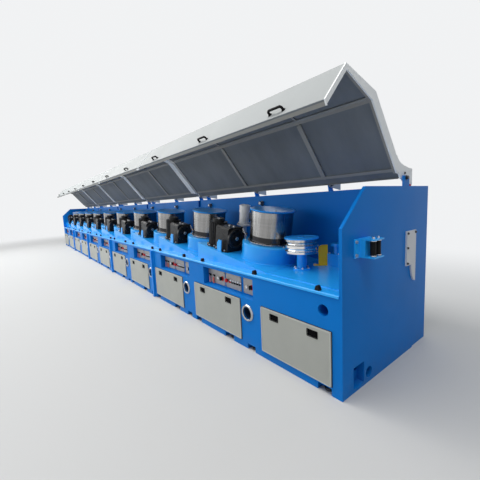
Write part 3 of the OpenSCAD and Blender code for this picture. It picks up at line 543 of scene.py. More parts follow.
class Shape:
    """Gathers the faces of one piece, each part of it with its own finish."""

    def __init__(self):
        self.mesh = bmesh.new()
        self.finishes = []

    def add(self, points, faces, finish, place):
        if finish not in self.finishes:
            self.finishes.append(finish)
        corners = [self.mesh.verts.new(place @ Vector(point)) for point in points]
        made = [self.mesh.faces.new([corners[i] for i in face]) for face in faces]
        for face in made:
            face.material_index = self.finishes.index(finish)
        return made

    def prism(self, outline, depth, place, finish, bevel=0.0):
        """An outline in X and Y, drawn out along Z."""
        count = len(outline)
        points = [(x, y, 0) for x, y in outline] + [(x, y, depth) for x, y in outline]
        faces = [tuple(range(count - 1, -1, -1)), tuple(range(count, 2 * count))]
        faces += [(i, (i + 1) % count, count + (i + 1) % count, count + i) for i in range(count)]
        made = self.add(points, faces, finish, place)
        if bevel:
            edges = list({edge for face in made for edge in face.edges})
            bmesh.ops.bevel(self.mesh, geom=edges, offset=bevel, segments=1, affect="EDGES")

    def box(self, width, height, depth, place, finish, bevel=0.0):
        """A block centred on its place in X and Y, standing on it in Z."""
        x, y = width / 2, height / 2
        self.prism([(-x, -y), (x, -y), (x, y), (-x, y)], depth, place, finish, bevel)

    def lathe(self, profile, place, finish, steps=24):
        """A turned piece from its outline of radius and height."""
        points, rings = [], []
        for radius, height in profile:
            count = steps if radius > 1e-6 else 1
            rings.append([len(points) + i for i in range(count)])
            points += [(*on_circle(radius, i, steps), height) for i in range(count)]
        faces = []
        for low, high in zip(rings, rings[1:]):
            for i in range(steps):
                j = (i + 1) % steps
                corners = [low[i % len(low)], low[j % len(low)], high[j % len(high)], high[i % len(high)]]
                corners = list(dict.fromkeys(corners))
                if len(corners) > 2:
                    faces.append(corners)
        self.add(points, faces, finish, place)

    def ring(self, inner, outer, height, place, finish, steps=32):
        """A flat ring with chamfered edges."""
        edge = min(height, outer - inner) / 4
        profile = [(inner, 0), (outer, 0), (outer, height - edge), (outer - edge, height),
                   (inner + edge, height), (inner, height - edge), (inner, 0)]
        self.lathe(profile, place, finish, steps)

    def disc(self, radius, height, place, finish, steps=24):
        """A round piece with a chamfered rim."""
        edge = min(height, radius) / 4
        self.lathe([(0, 0), (radius, 0), (radius, height - edge), (radius - edge, height), (0, height)],
                   place, finish, steps)

    def tube(self, path, radius, finish, sides=10):
        """A round bar along a path, closed at its ends."""
        path = [Vector(point) for point in path]
        points, side = [], None
        for i, point in enumerate(path):
            ahead = (path[min(i + 1, len(path) - 1)] - path[max(i - 1, 0)]).normalized()
            side = ahead.orthogonal() if side is None else side - ahead * side.dot(ahead)
            side.normalize()
            over = ahead.cross(side)
            points += [point + side * x + over * y
                       for x, y in (on_circle(radius, k, sides) for k in range(sides))]
        faces = [tuple(range(sides - 1, -1, -1)), tuple(range(len(points) - sides, len(points)))]
        for i in range(len(path) - 1):
            for k in range(sides):
                a, b = i * sides + k, i * sides + (k + 1) % sides
                faces.append((a, b, b + sides, a + sides))
        self.add(points, faces, finish, Matrix.Identity(4))

    def frame(self, width, height, band, depth, corner, place, finish):
        """A flat frame with cut corners, inside a width and a height."""
        def outline(inset):
            x, y, cut = width / 2 - inset, height / 2 - inset, max(corner - inset * 0.6, 0.0005)
            return [(-x + cut, -y), (x - cut, -y), (x, -y + cut), (x, y - cut), (x - cut, y), (-x + cut, y),
                    (-x, y - cut), (-x, -y + cut)]
        outer, inner = outline(0), outline(band)
        rings = ((outer, 0), (outer, depth), (inner, depth), (inner, 0))
        points = [(*p, z) for ring, z in rings for p in ring]
        faces = [(k * 8 + i, k * 8 + (i + 1) % 8, (k + 1) % 4 * 8 + (i + 1) % 8, (k + 1) % 4 * 8 + i)
                 for k in range(4) for i in range(8)]
        self.add(points, faces, finish, place)

    def done(self, name, slot, body=MAIN):
        """Turns what was gathered into one piece that rides on a body."""
        bmesh.ops.remove_doubles(self.mesh, verts=self.mesh.verts, dist=1e-6)
        bmesh.ops.recalc_face_normals(self.mesh, faces=self.mesh.faces)
        data = bpy.data.meshes.new(name)
        self.mesh.to_mesh(data)
        self.mesh.free()
        for finish in self.finishes:
            data.materials.append(FINISHES[finish])
        data.polygons.foreach_set("use_smooth", [True] * len(data.polygons))
        data.set_sharp_from_angle(angle=math.radians(SHARP))
        return keep(data, name, body)


def in_scene(name, data):
    """A new object in the scene."""
    made = bpy.data.objects.new(name, data)
    bpy.context.scene.collection.objects.link(made)
    return made


def keep(data, name, body):
    """A finished mesh as one piece that rides on a body."""
    piece = in_scene(name, data)
    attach(piece, body)
    return piece


# Bolts, set on points that carry the way they face


def bolt_tree(finish):
    """Sets a hexagon head on a washer at each point, square to where the point faces."""
    tree = bpy.data.node_groups.new(f"bolts_{finish}", "GeometryNodeTree")
    tree.interface.new_socket("Points", in_out="INPUT", socket_type="NodeSocketGeometry")
    width = tree.interface.new_socket("Head width", in_out="INPUT", socket_type="NodeSocketFloat")
    washer = tree.interface.new_socket("Washer share", in_out="INPUT", socket_type="NodeSocketFloat")
    tree.interface.new_socket("Bolts", in_out="OUTPUT", socket_type="NodeSocketGeometry")
    width.default_value, washer.default_value = 0.02, 1.35
    ins, outs = node(tree, "NodeGroupInput"), node(tree, "NodeGroupOutput")

    across = ins.outputs["Head width"]

    def scaled(factor):
        return times(tree, across, factor)

    def disc(sides, radius, depth, lift):
        made = node(tree, "GeometryNodeMeshCylinder", fill_type="NGON")
        made.inputs["Vertices"].default_value = sides
        link(radius, made.inputs["Radius"])
        link(depth, made.inputs["Depth"])
        moved = node(tree, "GeometryNodeTransform")
        raised = node(tree, "ShaderNodeCombineXYZ")
        link(lift, raised.inputs["Z"])
        link(made.outputs["Mesh"], moved.inputs["Geometry"])
        link(raised.outputs["Vector"], moved.inputs["Translation"])
        return moved.outputs["Geometry"]

    washer_radius = times(tree, scaled(0.5), ins.outputs["Washer share"])
    plate = disc(16, washer_radius, scaled(0.12), scaled(0.06))
    head = disc(6, scaled(0.577), scaled(0.5), scaled(0.37))
    crown = disc(12, scaled(0.43), scaled(0.06), scaled(0.65))
    joined = node(tree, "GeometryNodeJoinGeometry")
    for part in (plate, head, crown):
        link(part, joined.inputs["Geometry"])
    facing = node(tree, "GeometryNodeInputNamedAttribute", data_type="FLOAT_VECTOR")
    facing.inputs["Name"].default_value = "facing"
    turned = node(tree, "FunctionNodeAlignRotationToVector", axis="Z")
    link(facing.outputs["Attribute"], turned.inputs["Vector"])
    spread = node(tree, "GeometryNodeInstanceOnPoints")
    link(ins.outputs["Points"], spread.inputs["Points"])
    link(joined.outputs["Geometry"], spread.inputs["Instance"])
    link(turned.outputs["Rotation"], spread.inputs["Rotation"])
    real = node(tree, "GeometryNodeRealizeInstances")
    link(spread.outputs["Instances"], real.inputs["Geometry"])
    painted = node(tree, "GeometryNodeSetMaterial")
    painted.inputs["Material"].default_value = FINISHES[finish]
    link(real.outputs["Geometry"], painted.inputs["Geometry"])
    link(painted.outputs["Geometry"], outs.inputs["Bolts"])
    return tree, {"Head width": width.identifier, "Washer share": washer.identifier}


def realized(piece, tree, inputs, name, body):
    """Runs a node tree on a piece and keeps its result as a plain mesh of one body."""
    modifier = piece.modifiers.new("made", "NODES")
    modifier.node_group = tree
    for identifier, value in inputs.items():
        modifier[identifier] = value
    graph = bpy.context.evaluated_depsgraph_get()
    data = bpy.data.meshes.new_from_object(piece.evaluated_get(graph))
    piece.modifiers.remove(modifier)
    bpy.data.objects.remove(piece)
    data.name = name
    return keep(data, name, body)


BOLT_TREES = {}


def set_bolts(name, places, finish="bright_steel", width=None, washer=1.35, body=MAIN):
    """One mesh of bolts, one at each place, square to its Z."""
    if finish not in BOLT_TREES:
        BOLT_TREES[finish] = bolt_tree(finish)
    tree, sockets = BOLT_TREES[finish]
    data = bpy.data.meshes.new(name)
    data.from_pydata([tuple(place.translation) for place in places], [], [])
    facing = data.attributes.new("facing", "FLOAT_VECTOR", "POINT")
    facing.data.foreach_set("vector", [part for place in places for part in place.col[2].xyz])
    points = in_scene(name + "_points", data)
    inputs = {sockets["Head width"]: width or sizes().bolt_head, sockets["Washer share"]: washer}
    return realized(points, tree, inputs, name, body)


def around(place, radius, count, start=0.0):
    """Places on a circle round a place, facing as it does."""
    return [moved(place, *on_circle(radius, i, count, start)) for i in range(count)]


def moved(place, x, y, z=0.0):
    """A place shifted along its own axes."""
    return place @ Matrix.Translation((x, y, z))


# Places on the machine that the fittings share, in metres

DIE_ALONG, DIE_ACROSS = 0.387, -0.245
DIE_FACE, COVER_UP = 0.018, 0.178
ROTOR_BACK = -0.386
DIE_FOOT_TOP, DIE_TOP, ROTOR_TOP = 0.0163, 0.315, 0.3763  # over the deck
COVER_OUT = 0.036
BOSS_TOP = 0.200
LID_TOP = 0.598
PANEL_FACE = 0.078
DOOR_OUT = -0.012
SEAT = 0.0003
DEPTH = Y_BACK - Y_FRONT
BAY_DECK = 0.878
HINGE_BEHIND, HINGE_UP = 1.100, 1.785
SHEAVE_RUN, SHEAVE_BEHIND, SHEAVE_LID_TOP = 0.800, 0.493, 1.225
ROLLER_OUT, ROLLERS_BEHIND = 0.100, (0.268, 0.344)


def on_die(s, x, y, up):
    """A place on station s's die box, with X towards the near end from its front face."""
    return on_deck(s, DIE_ALONG - x, DIE_ACROSS + y, up)


def on_cover(s, out):
    """A place on the round cover of station s's die box, facing the near end."""
    return placed(on_die(s, out, 0, COVER_UP).translation, (0, 1, 0), DRUM_AXIS)


# The hoods' panels at rest: where each starts behind the front and over the floor, and its heading

HOOD_HEADINGS = {"main": -51.3, "slope": -22.3, "strip": 48.7}
HOOD_STARTS = {"main": (1.0409, 1.7875), "slope": (0.5245, 2.4321), "strip": (0.1239, 2.5964)}


def on_hood(run, panel, along, out=0.0):
    """A place on a hood panel: X along the line, Y back towards the hinge, Z out of the sheet."""
    turn = math.radians(HOOD_HEADINGS[panel])
    ahead = Vector((0, -math.cos(turn), -math.sin(turn)))
    outward = Vector((0, -math.sin(turn), math.cos(turn)))
    return placed(at(run, *HOOD_STARTS[panel]) + ahead * along + outward * out, (1, 0, 0), -ahead)


HINGE_STEP = 0.013


def hinges(b):
    """The runs of hood b's arms, as its CAD has them."""
    near = [0.036, END_BAY - 0.113 - HINGE_STEP] if b == 1 else [station_edge(2 * b - 1) + 0.096 - HINGE_STEP]
    return near + [station_edge(s + 1) - 0.190 - HINGE_STEP for s in (2 * b - 1, 2 * b)]


# Bolts


def die_box_bolts():
    """Bolts of each die box's foot plate, round cover and rotor cap."""
    feet, covers, caps = [], [], []
    for s in STATIONS:
        feet += [on_die(s, x, y, DIE_FOOT_TOP) for x in (-0.050, -0.235) for y in (-0.127, 0.127)]
        ring = around(on_die(s, ROTOR_BACK, 0, DIE_FOOT_TOP), 0.136, 10, 0.31)
        housing_end = on_die(s, -0.300, 0, 0).translation.x
        feet += [place for place in ring if place.translation.x < housing_end]
        covers += around(on_cover(s, COVER_OUT - 0.001), 0.112, 8, 0.39)
        caps += around(on_die(s, ROTOR_BACK, 0, ROTOR_TOP), 0.062, 6)
    set_bolts("die_box_foot_bolts", feet, width=0.020)
    set_bolts("die_box_cover_bolts", covers, "dark_steel", 0.011)
    set_bolts("die_box_cap_bolts", caps, "dark_steel", 0.014)


def boss_bolts():
    """Three bolts on each gearbox boss, on the side that its drum leaves open."""
    places = [place for s in STATIONS for place in around(on_deck(s, 0, 0, BOSS_TOP + SEAT), 0.303, 3, 3.95)]
    set_bolts("boss_bolts", places, width=0.017)


GUARD_TURN = 0.681  # turn of the wire guard's foot, in radians


def bay_bolts():
    """Bolts of the column, the guard and the cylinder, and of what the near end plate carries."""
    column = around(on_top(SHEAVE_RUN, SHEAVE_BEHIND, BAY_DECK + 0.0163), 0.076, 6, 0.3)
    guard = on_top(0.725, 0.768, BAY_DECK + 0.0083) @ Matrix.Rotation(GUARD_TURN, 4, "Z")
    column += [moved(guard, x, 0.036) for x in (-0.085, -0.030)]
    column += [on_top(0.610 + x, 0.850 + y, BAY_DECK + 0.1403)
               for x in (-0.058, 0.058) for y in (-0.043, 0.043)]
    set_bolts("bay_bolts", column, width=0.018)
    exit_flange = [on_end(y, z, 0.012) for y in (0.179, 0.379) for z in (1.166, 1.272)]
    exit_flange += [on_top(-ROLLER_OUT, y, 1.295) for y in ROLLERS_BEHIND]
    set_bolts("exit_bracket_bolts", exit_flange, width=0.020)
    side = [on_end(y, z, 0.016) for y, z in ((1.108, 1.245), (1.108, 1.100), (1.108, 0.945), (1.282, 1.245))]
    set_bolts("side_plate_bolts", side, "dark_steel", 0.018)


PLATE_INSET, PANEL_INSET = 0.010, 0.145  # screws from a plate's edges and from a bay's edges
PANEL_T, PANEL_ROWS = 0.012, (0.105, 0.850, 1.600)


def panel_screws():
    """Screws at the corners of each control plate, and three rows of them down each back panel's edges."""
    small = []
    for s in STATIONS:
        for low, high in PLATES:
            near, far = plate_edges(s, low, high)
            small += [on_front(run, z, PANEL_FACE) for run in (near + PLATE_INSET, far - PLATE_INSET)
                      for z in (PLATE_LOW + PLATE_INSET, PLATE_LOW + PLATE_H - PLATE_INSET)]
    spans = [(station_edge(s), station_edge(s + 1)) for s in STATIONS] + [(0, END_BAY)]
    back = [placed(at(run, DEPTH + PANEL_T, z), (-1, 0, 0), (0, 0, 1)) for near, far in spans
            for run in (near + PANEL_INSET, far - PANEL_INSET) for z in PANEL_ROWS]
    set_bolts("control_plate_screws", small, "dark_steel", 0.007, washer=1.0)
    set_bolts("back_panel_screws", back, "dark_steel", 0.014)


ARM_BOLTS = ((1.150, 1.795), (1.128, 1.832))  # behind the front and over the floor


def hinge_bolts():
    """Pin heads beside each hinge, and the bolts that hold each arm to its hood."""
    heads = []
    for b in BLOCKS:
        arms = []
        for run in hinges(b):
            if run > 0.1:
                heads.append(on_end(HINGE_BEHIND, HINGE_UP, -(run - 0.012)))
            arms += [on_end(y, z, -run) for y, z in ARM_BOLTS]
        set_bolts(f"hood_arm_bolts_{b}", arms, "dark_steel", 0.016, body=f"hood_body_{b}")
    heads.append(on_end(HINGE_BEHIND, HINGE_UP, -0.008))
    set_bolts("hinge_pin_heads", heads, "dark_steel", 0.030, washer=1.5)


# Doors and ports

BAY_DOOR_IN = 0.097
DOOR_IN, DOOR_W, DOOR_H, DOOR_MIDDLE = 0.308, 1.030, 0.475, 0.3175
LATCH_MIDDLE = 0.485
BAY_LATCHES, STATION_LATCHES = (0.185, 0.645), (0.225, 0.808)  # runs from a door's near edge
BAR_MIDDLE, BAR_H = 0.4235, 0.838
PORT_IN, PORT_MIDDLE, PORT_RADIUS = 0.188, 0.420, 0.068
FOOT_BEHIND = 0.075
BAY_FOOT, STATION_FEET = 0.169, (0.145, 0.555, 1.280)


def door_dressing():
    """A folded rim round each door in a lighter grey as its painted highlight, and the dark gap beside it, a
    black frame of painted shadow.
    """
    shape, gap_shadow = Shape(), Shape()
    doors = [(BAY_DOOR_IN, END_BAY - 0.038)]
    doors += [(station_edge(s) + DOOR_IN, station_edge(s) + DOOR_IN + DOOR_W) for s in STATIONS]
    for near, far in doors:
        middle = (near + far) / 2
        # painted highlight: the rim is lighter than the door
        shape.frame(far - near - 0.002, DOOR_H - 0.002, sizes().door_rim, 0.0022, sizes().door_corner,
                    on_front(middle, DOOR_MIDDLE, DOOR_OUT), "door_rim")
        # painted shadow: a black frame flush on the front round the door
        gap_shadow.frame(far - near + 0.010, DOOR_H + 0.010, 0.0048, 0.003, 0.007, on_front(middle, DOOR_MIDDLE),
                  "black_plastic")
    shape.done("door_rims", "door_grey")
    gap_shadow.done("door_gap_shadows", "rubber_black")


def joint_bars():
    """The upright bars on the front where one block is bolted to the next; the wide one is a lighter blue,
    painted light.
    """
    shape = Shape()
    for b in BLOCKS[1:]:
        edge = station_edge(2 * b - 1)
        # painted light: the wide bar is a lighter blue than the front
        shape.box(0.055, BAR_H, 0.045, on_front(edge + 0.0325, BAR_MIDDLE, -SEAT), "joint_lit_blue", 0.003)
        shape.box(0.034, BAR_H, 0.012, on_front(edge - 0.023, BAR_MIDDLE, -SEAT), "machine_blue", 0.002)
    shape.done("joint_bars", "rail_blue")


def latch_dressing():
    """The frame of each recessed latch."""
    shape = Shape()
    runs = [BAY_DOOR_IN + run for run in BAY_LATCHES]
    runs += [station_edge(s) + DOOR_IN + run for s in STATIONS for run in STATION_LATCHES]
    for run in runs:
        shape.frame(0.116, 0.066, 0.006, 0.003, 0.004, on_front(run, LATCH_MIDDLE, DOOR_OUT), "latch_black")
    shape.done("latch_frames", "roller_black")


def port_shade_cups():
    """Dark cups inside the ports as painted shade, with a dark valve stem in each."""
    shape = Shape()
    outer, inner = PORT_RADIUS - 0.0004, PORT_RADIUS - 0.002
    cup = [(0, 0), (outer, 0), (outer, 0.153), (inner, 0.153), (inner, 0.003), (0, 0.003)]
    for s in STATIONS:
        run = station_edge(s) + PORT_IN
        # painted shade: a dark cup fills each port's bore
        shape.lathe(cup, on_front(run, PORT_MIDDLE, 0.1596), "hole_shade_dark", 32)
        shape.disc(PORT_RADIUS / 2, 0.040, on_front(run, PORT_MIDDLE, 0.1566), "dark_steel")
    shape.done("port_shade_cups", "black_iron")


def machine_feet():
    """Levelling feet in the pockets of the plinth."""
    shape = Shape()
    for run in [station_edge(s) + run for s in STATIONS for run in STATION_FEET] + [BAY_FOOT]:
        place = on_top(run, FOOT_BEHIND, 0.0)
        shape.disc(0.045, 0.016, place, "dark_steel")
        shape.disc(0.016, 0.0615, place, "bright_steel", 12)
    shape.done("machine_feet", "black_iron")


# Controls

RECESS_IN, RECESS_W = 0.088, 0.997
PLATES = ((0.012, 0.250), (0.296, 0.594), (0.616, 0.990))
PLATE_LOW, PLATE_H = 0.600, 0.174


def plate_edges(s, low, high):
    """The runs of a control plate's two sides, from its shares of station s's recess."""
    start = station_edge(s) + RECESS_IN
    return start + RECESS_W * low, start + RECESS_W * high


def toggle(shape, place, tag):
    """A lever switch with a tag that hangs from it."""
    shape.disc(0.015, 0.008, place, "black_plastic", 16)
    lever = ((0, 0, 0.004), (0, 0.008, 0.015), (0, 0.018, 0.028))
    shape.tube([place @ Vector(point) for point in lever], 0.007, "black_plastic")
    outline = [(-0.015, -0.099), (0.015, -0.099), (0.015, -0.030), (0.005, -0.018), (-0.005, -0.018),
               (-0.015, -0.030)]
    shape.prism(outline, 0.002, moved(place, -0.014, 0, 0.012), tag)


def selector(shape, place, skirt):
    """A round knob with a grip bar, on a coloured skirt."""
    shape.disc(0.030, 0.008, moved(place, 0.009, 0, 0), skirt)
    shape.disc(0.024, 0.026, place, "black_plastic")
    shape.box(0.012, 0.046, 0.008, moved(place, 0, 0, 0.026), "black_plastic", 0.0015)


def dial(shape, place):
    """A small white gauge with a rim and a pointer."""
    shape.ring(0.0185, 0.0215, 0.010, place, "bright_steel", 24)
    shape.disc(0.0187, 0.007, place, "white_plastic")
    shape.box(0.002, 0.013, 0.001, moved(place, 0, 0.004, 0.007), "black_plastic")


def push_button(shape, place, cap):
    """A push button with its lamp beside it."""
    shape.ring(0.0105, 0.0135, 0.006, place, cap, 20)
    shape.disc(0.0107, 0.016, place, cap, 16)
    shape.disc(0.0125, 0.012, moved(place, 0.017, 0.021), "white_plastic", 16)


def mushroom(shape, place):
    """A stop button with a wide crowned head."""
    head = [(0, 0.012), (0.024, 0.012), (0.026, 0.018), (0.022, 0.028), (0.010, 0.032), (0, 0.032)]
    shape.disc(0.015, 0.014, place, "red_plastic", 20)
    shape.lathe(head, place, "red_plastic")


def controls():
    """The instruments of each station, where the CAD has plain studs."""
    shape = Shape()
    for s in STATIONS:
        def spot(plate, share, rise):
            near, far = plate_edges(s, *PLATES[plate])
            return on_front(near + (far - near) * share, PLATE_LOW + PLATE_H * rise, PANEL_FACE)
        toggle(shape, spot(2, 0.86, 0.56), "tag_pink")
        toggle(shape, spot(2, 0.62, 0.56), "tag_red")
        dial(shape, spot(2, 0.40, 0.47))
        selector(shape, spot(2, 0.18, 0.50), "red_plastic")
        mushroom(shape, spot(1, 0.90, 0.50))
        push_button(shape, spot(1, 0.71, 0.44), "red_plastic")
        for share in (0.55, 0.39, 0.23, 0.075):
            push_button(shape, spot(1, share, 0.44), "black_plastic")
        dial(shape, spot(0, 0.76, 0.45))
        selector(shape, spot(0, 0.42, 0.50), "red_plastic")
    piece = shape.done("control_instruments", "roller_black")
    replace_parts(piece, "control_knobs")


# Hoods

RIB_MIDDLE, RIB_LENGTH, RIB_W, RIB_DEEP = 0.453, 0.662, 0.056, 0.018
RIB_BEFORE = 0.128  # from a rib's middle to the station after it
STRIP_DEPTH, STRIP_T, STRIP_W, STRIP_ENDS = 0.0196, 0.002, 0.181, (0.094, 0.425)
STRIP_FAR = 0.205  # from a station's near edge to the strip's far side
STRIP_MITRE = 0.713  # tangent of half the bend into the front strip
HANDLE_HALF, HANDLE_H = 0.077, 0.040
HANDLE_IN, BAY_HANDLE = 0.730, 0.535
HANDLE_DOWN = 0.337  # a handle's place down the front strip



def bow_path(place, half, height, steps=6):
    """A bow handle's centre line, with rounded corners."""
    corner = height * 0.5
    points = [(-half, 0), (-half, height - corner)]
    points += [(-half + corner * (1 - math.cos(a)), height - corner * (1 - math.sin(a)))
               for a in (math.pi / 2 * i / steps for i in range(1, steps + 1))]
    points += [(-x, z) for x, z in reversed(points)]
    return [place @ Vector((x, 0, z)) for x, z in points]


def bow_handles():
    """Rounded bow handles on the hoods' front strips, where the CAD has square ones."""
    for b in BLOCKS:
        shape = Shape()
        runs = [station_edge(s) + HANDLE_IN for s in (2 * b - 1, 2 * b)] + ([BAY_HANDLE] if b == 1 else [])
        for run in runs:
            place = on_hood(run, "strip", HANDLE_DOWN)
            shape.tube(bow_path(place, HANDLE_HALF, HANDLE_H), sizes().handle_bar, "black_plastic", 12)
            for x in (-HANDLE_HALF, HANDLE_HALF):
                shape.disc(0.018, 0.006, moved(place, x, 0, 0), "black_plastic")
        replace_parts(shape.done(f"bow_handles_{b}", "roller_black", f"hood_body_{b}"), f"hood_handles_{b}")


def fold_line(under, start, stop):
    """Points behind the front and over the floor, at a depth under a hood's main and slope panels."""
    def point(panel, along):
        place = on_hood(0, panel, along, -under).translation
        return place.y - Y_FRONT, place.z
    turn = math.radians(HOOD_HEADINGS["slope"] - HOOD_HEADINGS["main"])
    middle = point("slope", under * math.tan(turn / 2))
    return [point("main", start), middle, point("slope", stop - STRIP_MITRE * under)]


def hood_ribs():
    """Folded ribs across each hood's main panel, and the wide white strip beside each joint, a painted
    highlight.
    """
    for b in BLOCKS:
        shape = Shape()
        for s in ((1, 2) if b == 1 else (2 * b,)):
            rib = on_hood(station_edge(s) - RIB_BEFORE, "main", RIB_MIDDLE, -0.0235)
            shape.box(RIB_W, RIB_LENGTH, RIB_DEEP, rib, "hood_rib", 0.003)
        if b > 1:
            # painted highlight: a white strip inside the hood beside its joint
            under = fold_line(STRIP_DEPTH + STRIP_T, *STRIP_ENDS)
            face = placed(at(station_edge(2 * b - 1) + STRIP_FAR, 0, 0), (0, 1, 0), (0, 0, 1))
            shape.prism(fold_line(STRIP_DEPTH, *STRIP_ENDS) + under[::-1], STRIP_W, face, "hood_highlight")
        shape.done(f"hood_ribs_{b}", "hood_grey", f"hood_body_{b}")


# Die boxes and drums


def die_box_dressing():
    """Rings of each round cover, wire bush, water glands, the steel strut to the boss and a board."""
    shape = Shape()
    for s in STATIONS:
        face = on_cover(s, DIE_FACE / 2)
        shape.ring(0.100, 0.124, 0.036, on_cover(s, -0.001), "iron", 40)
        shape.ring(0.066, 0.076, 0.007, face, "iron")
        shape.ring(0.044, 0.052, 0.010, face, "iron")
        shape.ring(0.009, 0.023, 0.008, on_cover(s, COVER_OUT), "bright_steel", 24)
        shape.disc(0.0092, 0.012, on_cover(s, COVER_OUT), "dark_steel", 12)
        for y in (-0.045, 0.045):
            gland = on_die(s, -0.080 + y, 0, DIE_TOP)
            shape.disc(0.016, 0.020, gland, "bright_steel", 12)
        side = on_die(s, -0.028, 0.116, 0.300)
        foot = on_deck(s, 0.318, -0.117, BOSS_TOP + 0.006)
        shape.tube([side.translation + Vector((0, 0.012, 0)), foot.translation], 0.008, "bright_steel", 12)
        knob = placed(side.translation, (1, 0, 0), (0, 0, 1))
        shape.disc(0.015, 0.022, knob @ Matrix.Rotation(math.pi, 4, "X"), "dark_steel", 16)
        shape.box(0.026, 0.120, 0.024, on_die(s, -0.045, 0.174, 0.196), "brown_board", 0.003)
    shape.done("die_box_fittings", "black_iron")


def lid_dressing():
    """A dark disc down each lid's hole as its painted shade, and a bright stud beside it."""
    for s in STATIONS:
        shape = Shape()
        top = on_deck(s, 0, 0, LID_TOP)
        # painted shade: a dark disc down the lid's hole
        shape.disc(0.0128, 0.004, moved(top, *on_circle(0.204, 142, 360), -0.0138), "hole_shade_dark")
        shape.disc(0.010, 0.012, moved(top, *on_circle(0.218, 0, 1, -0.6), 0.0005), "bright_steel")
        shape.ring(0.256, 0.2675, 0.0025, top, "lid_blue", 64)
        shape.done(f"lid_fittings_{s}", "lid_blue", f"drum_body_{s}")


def sheave_dressing():
    """The raised rim, hub and three screws of the guide sheave's lid."""
    shape = Shape()
    top = on_top(SHEAVE_RUN, SHEAVE_BEHIND, SHEAVE_LID_TOP)
    shape.ring(0.166, 0.179, 0.004, top, "lid_blue", 64)
    shape.disc(0.040, 0.006, top, "lid_blue", 32)
    for place in around(moved(top, 0, 0, 0.0055), 0.026, 3, 1.0):
        shape.disc(0.006, 0.003, place, "dark_steel", 12)
    shape.done("sheave_lid_fittings", "lid_blue", "sheave_body")


# End bay

MOTOR_ALONG = 0.974 / 0.9885 - 0.397  # the motor's run along the first deck, less the drum's
SENSOR_IN, SENSOR_MIDDLE, SENSOR_BEHIND = 0.990, 1.602, 0.964


def motor_dressing():
    """The gear motor's pointed flange, cooling rings, eight-sided cap rims and connector."""
    shape = Shape()
    base = on_deck(1, MOTOR_ALONG, 0.055, SEAT)

    def polygon(sides, radius, start=0.0):
        return [on_circle(radius, i, sides, start) for i in range(sides)]
    shape.prism(polygon(4, 0.124), 0.012, moved(base, 0, 0, 0.302), "aluminium", 0.003)
    fins = sizes().fins
    for i in range(fins):
        shape.ring(0.0635, 0.069, 0.005, moved(base, 0, 0, 0.322 + 0.150 * i / (fins - 1)), "aluminium")
    for up in (0.478, 0.548):
        shape.prism(polygon(8, 0.078, math.pi / 8), 0.014, moved(base, 0, 0, up), "aluminium", 0.002)
    shape.box(0.060, 0.040, 0.085, moved(base, 0.020, 0.082, 0.375), "black_plastic", 0.004)
    shape.tube([moved(base, 0.020, 0.092, up).translation for up in (0.376, 0.340)], 0.010, "dark_steel")
    shape.done("gear_motor_fittings", "motor_alu")
    set_bolts("gear_motor_bolts", [moved(place, 0, 0, 0.314) for place in around(base, 0.102, 4)],
              width=0.016)


def sensor_faces():
    """Light front faces and dark rings of the sensors on the cabinet."""
    shape = Shape()
    for s in STATIONS:
        place = on_front(station_edge(s) + SENSOR_IN, SENSOR_MIDDLE, SENSOR_BEHIND)
        shape.disc(0.021, 0.004, place, "white_plastic")
        shape.ring(0.021, 0.0252, 0.003, place, "black_plastic", 24)
        shape.disc(0.012, 0.020, moved(place, 0, -0.036, -0.050), "black_plastic")
    shape.done("sensor_faces", "sensor_grey")


def bay_fittings():
    """A red stop on the cabinet under the end arm, and bright rims of the exit rollers."""
    shape = Shape()
    shape.lathe([(0, 0), (0.040, 0), (0.040, 0.020), (0.030, 0.048), (0.012, 0.066), (0, 0.068)],
                on_top(0.075, 1.275, 1.7052), "red_plastic")
    for y in ROLLERS_BEHIND:
        for z in (1.158, 1.275):
            shape.ring(0.0215, 0.025, 0.006, on_top(-ROLLER_OUT, y, z), "bright_steel")
    shape.done("bay_fittings", "roller_black")


# Camera, light and floor, at the photograph's angle of view

PHOTO_SIZE = 480
PHOTO_FOCAL = 289.5
PHOTO_CENTRE = (239.5, 238.0)
CAMERA_FROM_END = 1.218
CAMERA_IN_FRONT = 1.910
CAMERA_HEIGHT = 1.619
CAMERA_RIGHT = (0.61726, 0.78535, -0.04709)
CAMERA_UP = (-0.06572, 0.11111, 0.99163)
SENSOR = 36.0


def make_camera():
    """A camera where the photographer stood."""
    data = bpy.data.cameras.new("photo_camera")
    data.sensor_width = SENSOR
    data.lens = PHOTO_FOCAL * SENSOR / PHOTO_SIZE
    data.shift_x = (PHOTO_SIZE / 2 - PHOTO_CENTRE[0]) / PHOTO_SIZE
    data.shift_y = (PHOTO_CENTRE[1] - PHOTO_SIZE / 2) / PHOTO_SIZE
    data.clip_end = 200
    camera = in_scene("photo_camera", data)
    right = Vector(CAMERA_RIGHT).normalized()
    up = Vector(CAMERA_UP)
    up -= right * up.dot(right)
    camera.matrix_world = placed(at(-CAMERA_FROM_END, -CAMERA_IN_FRONT, CAMERA_HEIGHT), right, up)
    bpy.context.scene.camera = camera


def area_lamp(name, place, aim, size, power, colour):
    data = bpy.data.lights.new(name, "AREA")
    data.shape = "RECTANGLE"
    data.size, data.size_y = size
    data.energy = power
    data.color = colour
    lamp = in_scene(name, data)
    lamp.location = place
    lamp.rotation_euler = (Vector(aim) - Vector(place)).to_track_quat("-Z", "Y").to_euler()


FLOOR_REACH = 90.0
FADE_START, FADE_END = 0.8, 7.5  # how far from the line the floor turns into the backdrop
PALE = (0.88, 0.89, 0.90, 1)


def seen_rays(tree):
    """One for what the camera, a reflection or a clear body sees, and nothing for what lights the line."""
    path = node(tree, "ShaderNodeLightPath")
    mirrored = maths(tree, "MAXIMUM", path.outputs["Is Glossy Ray"], path.outputs["Is Transmission Ray"])
    return maths(tree, "MAXIMUM", path.outputs["Is Camera Ray"], mirrored)


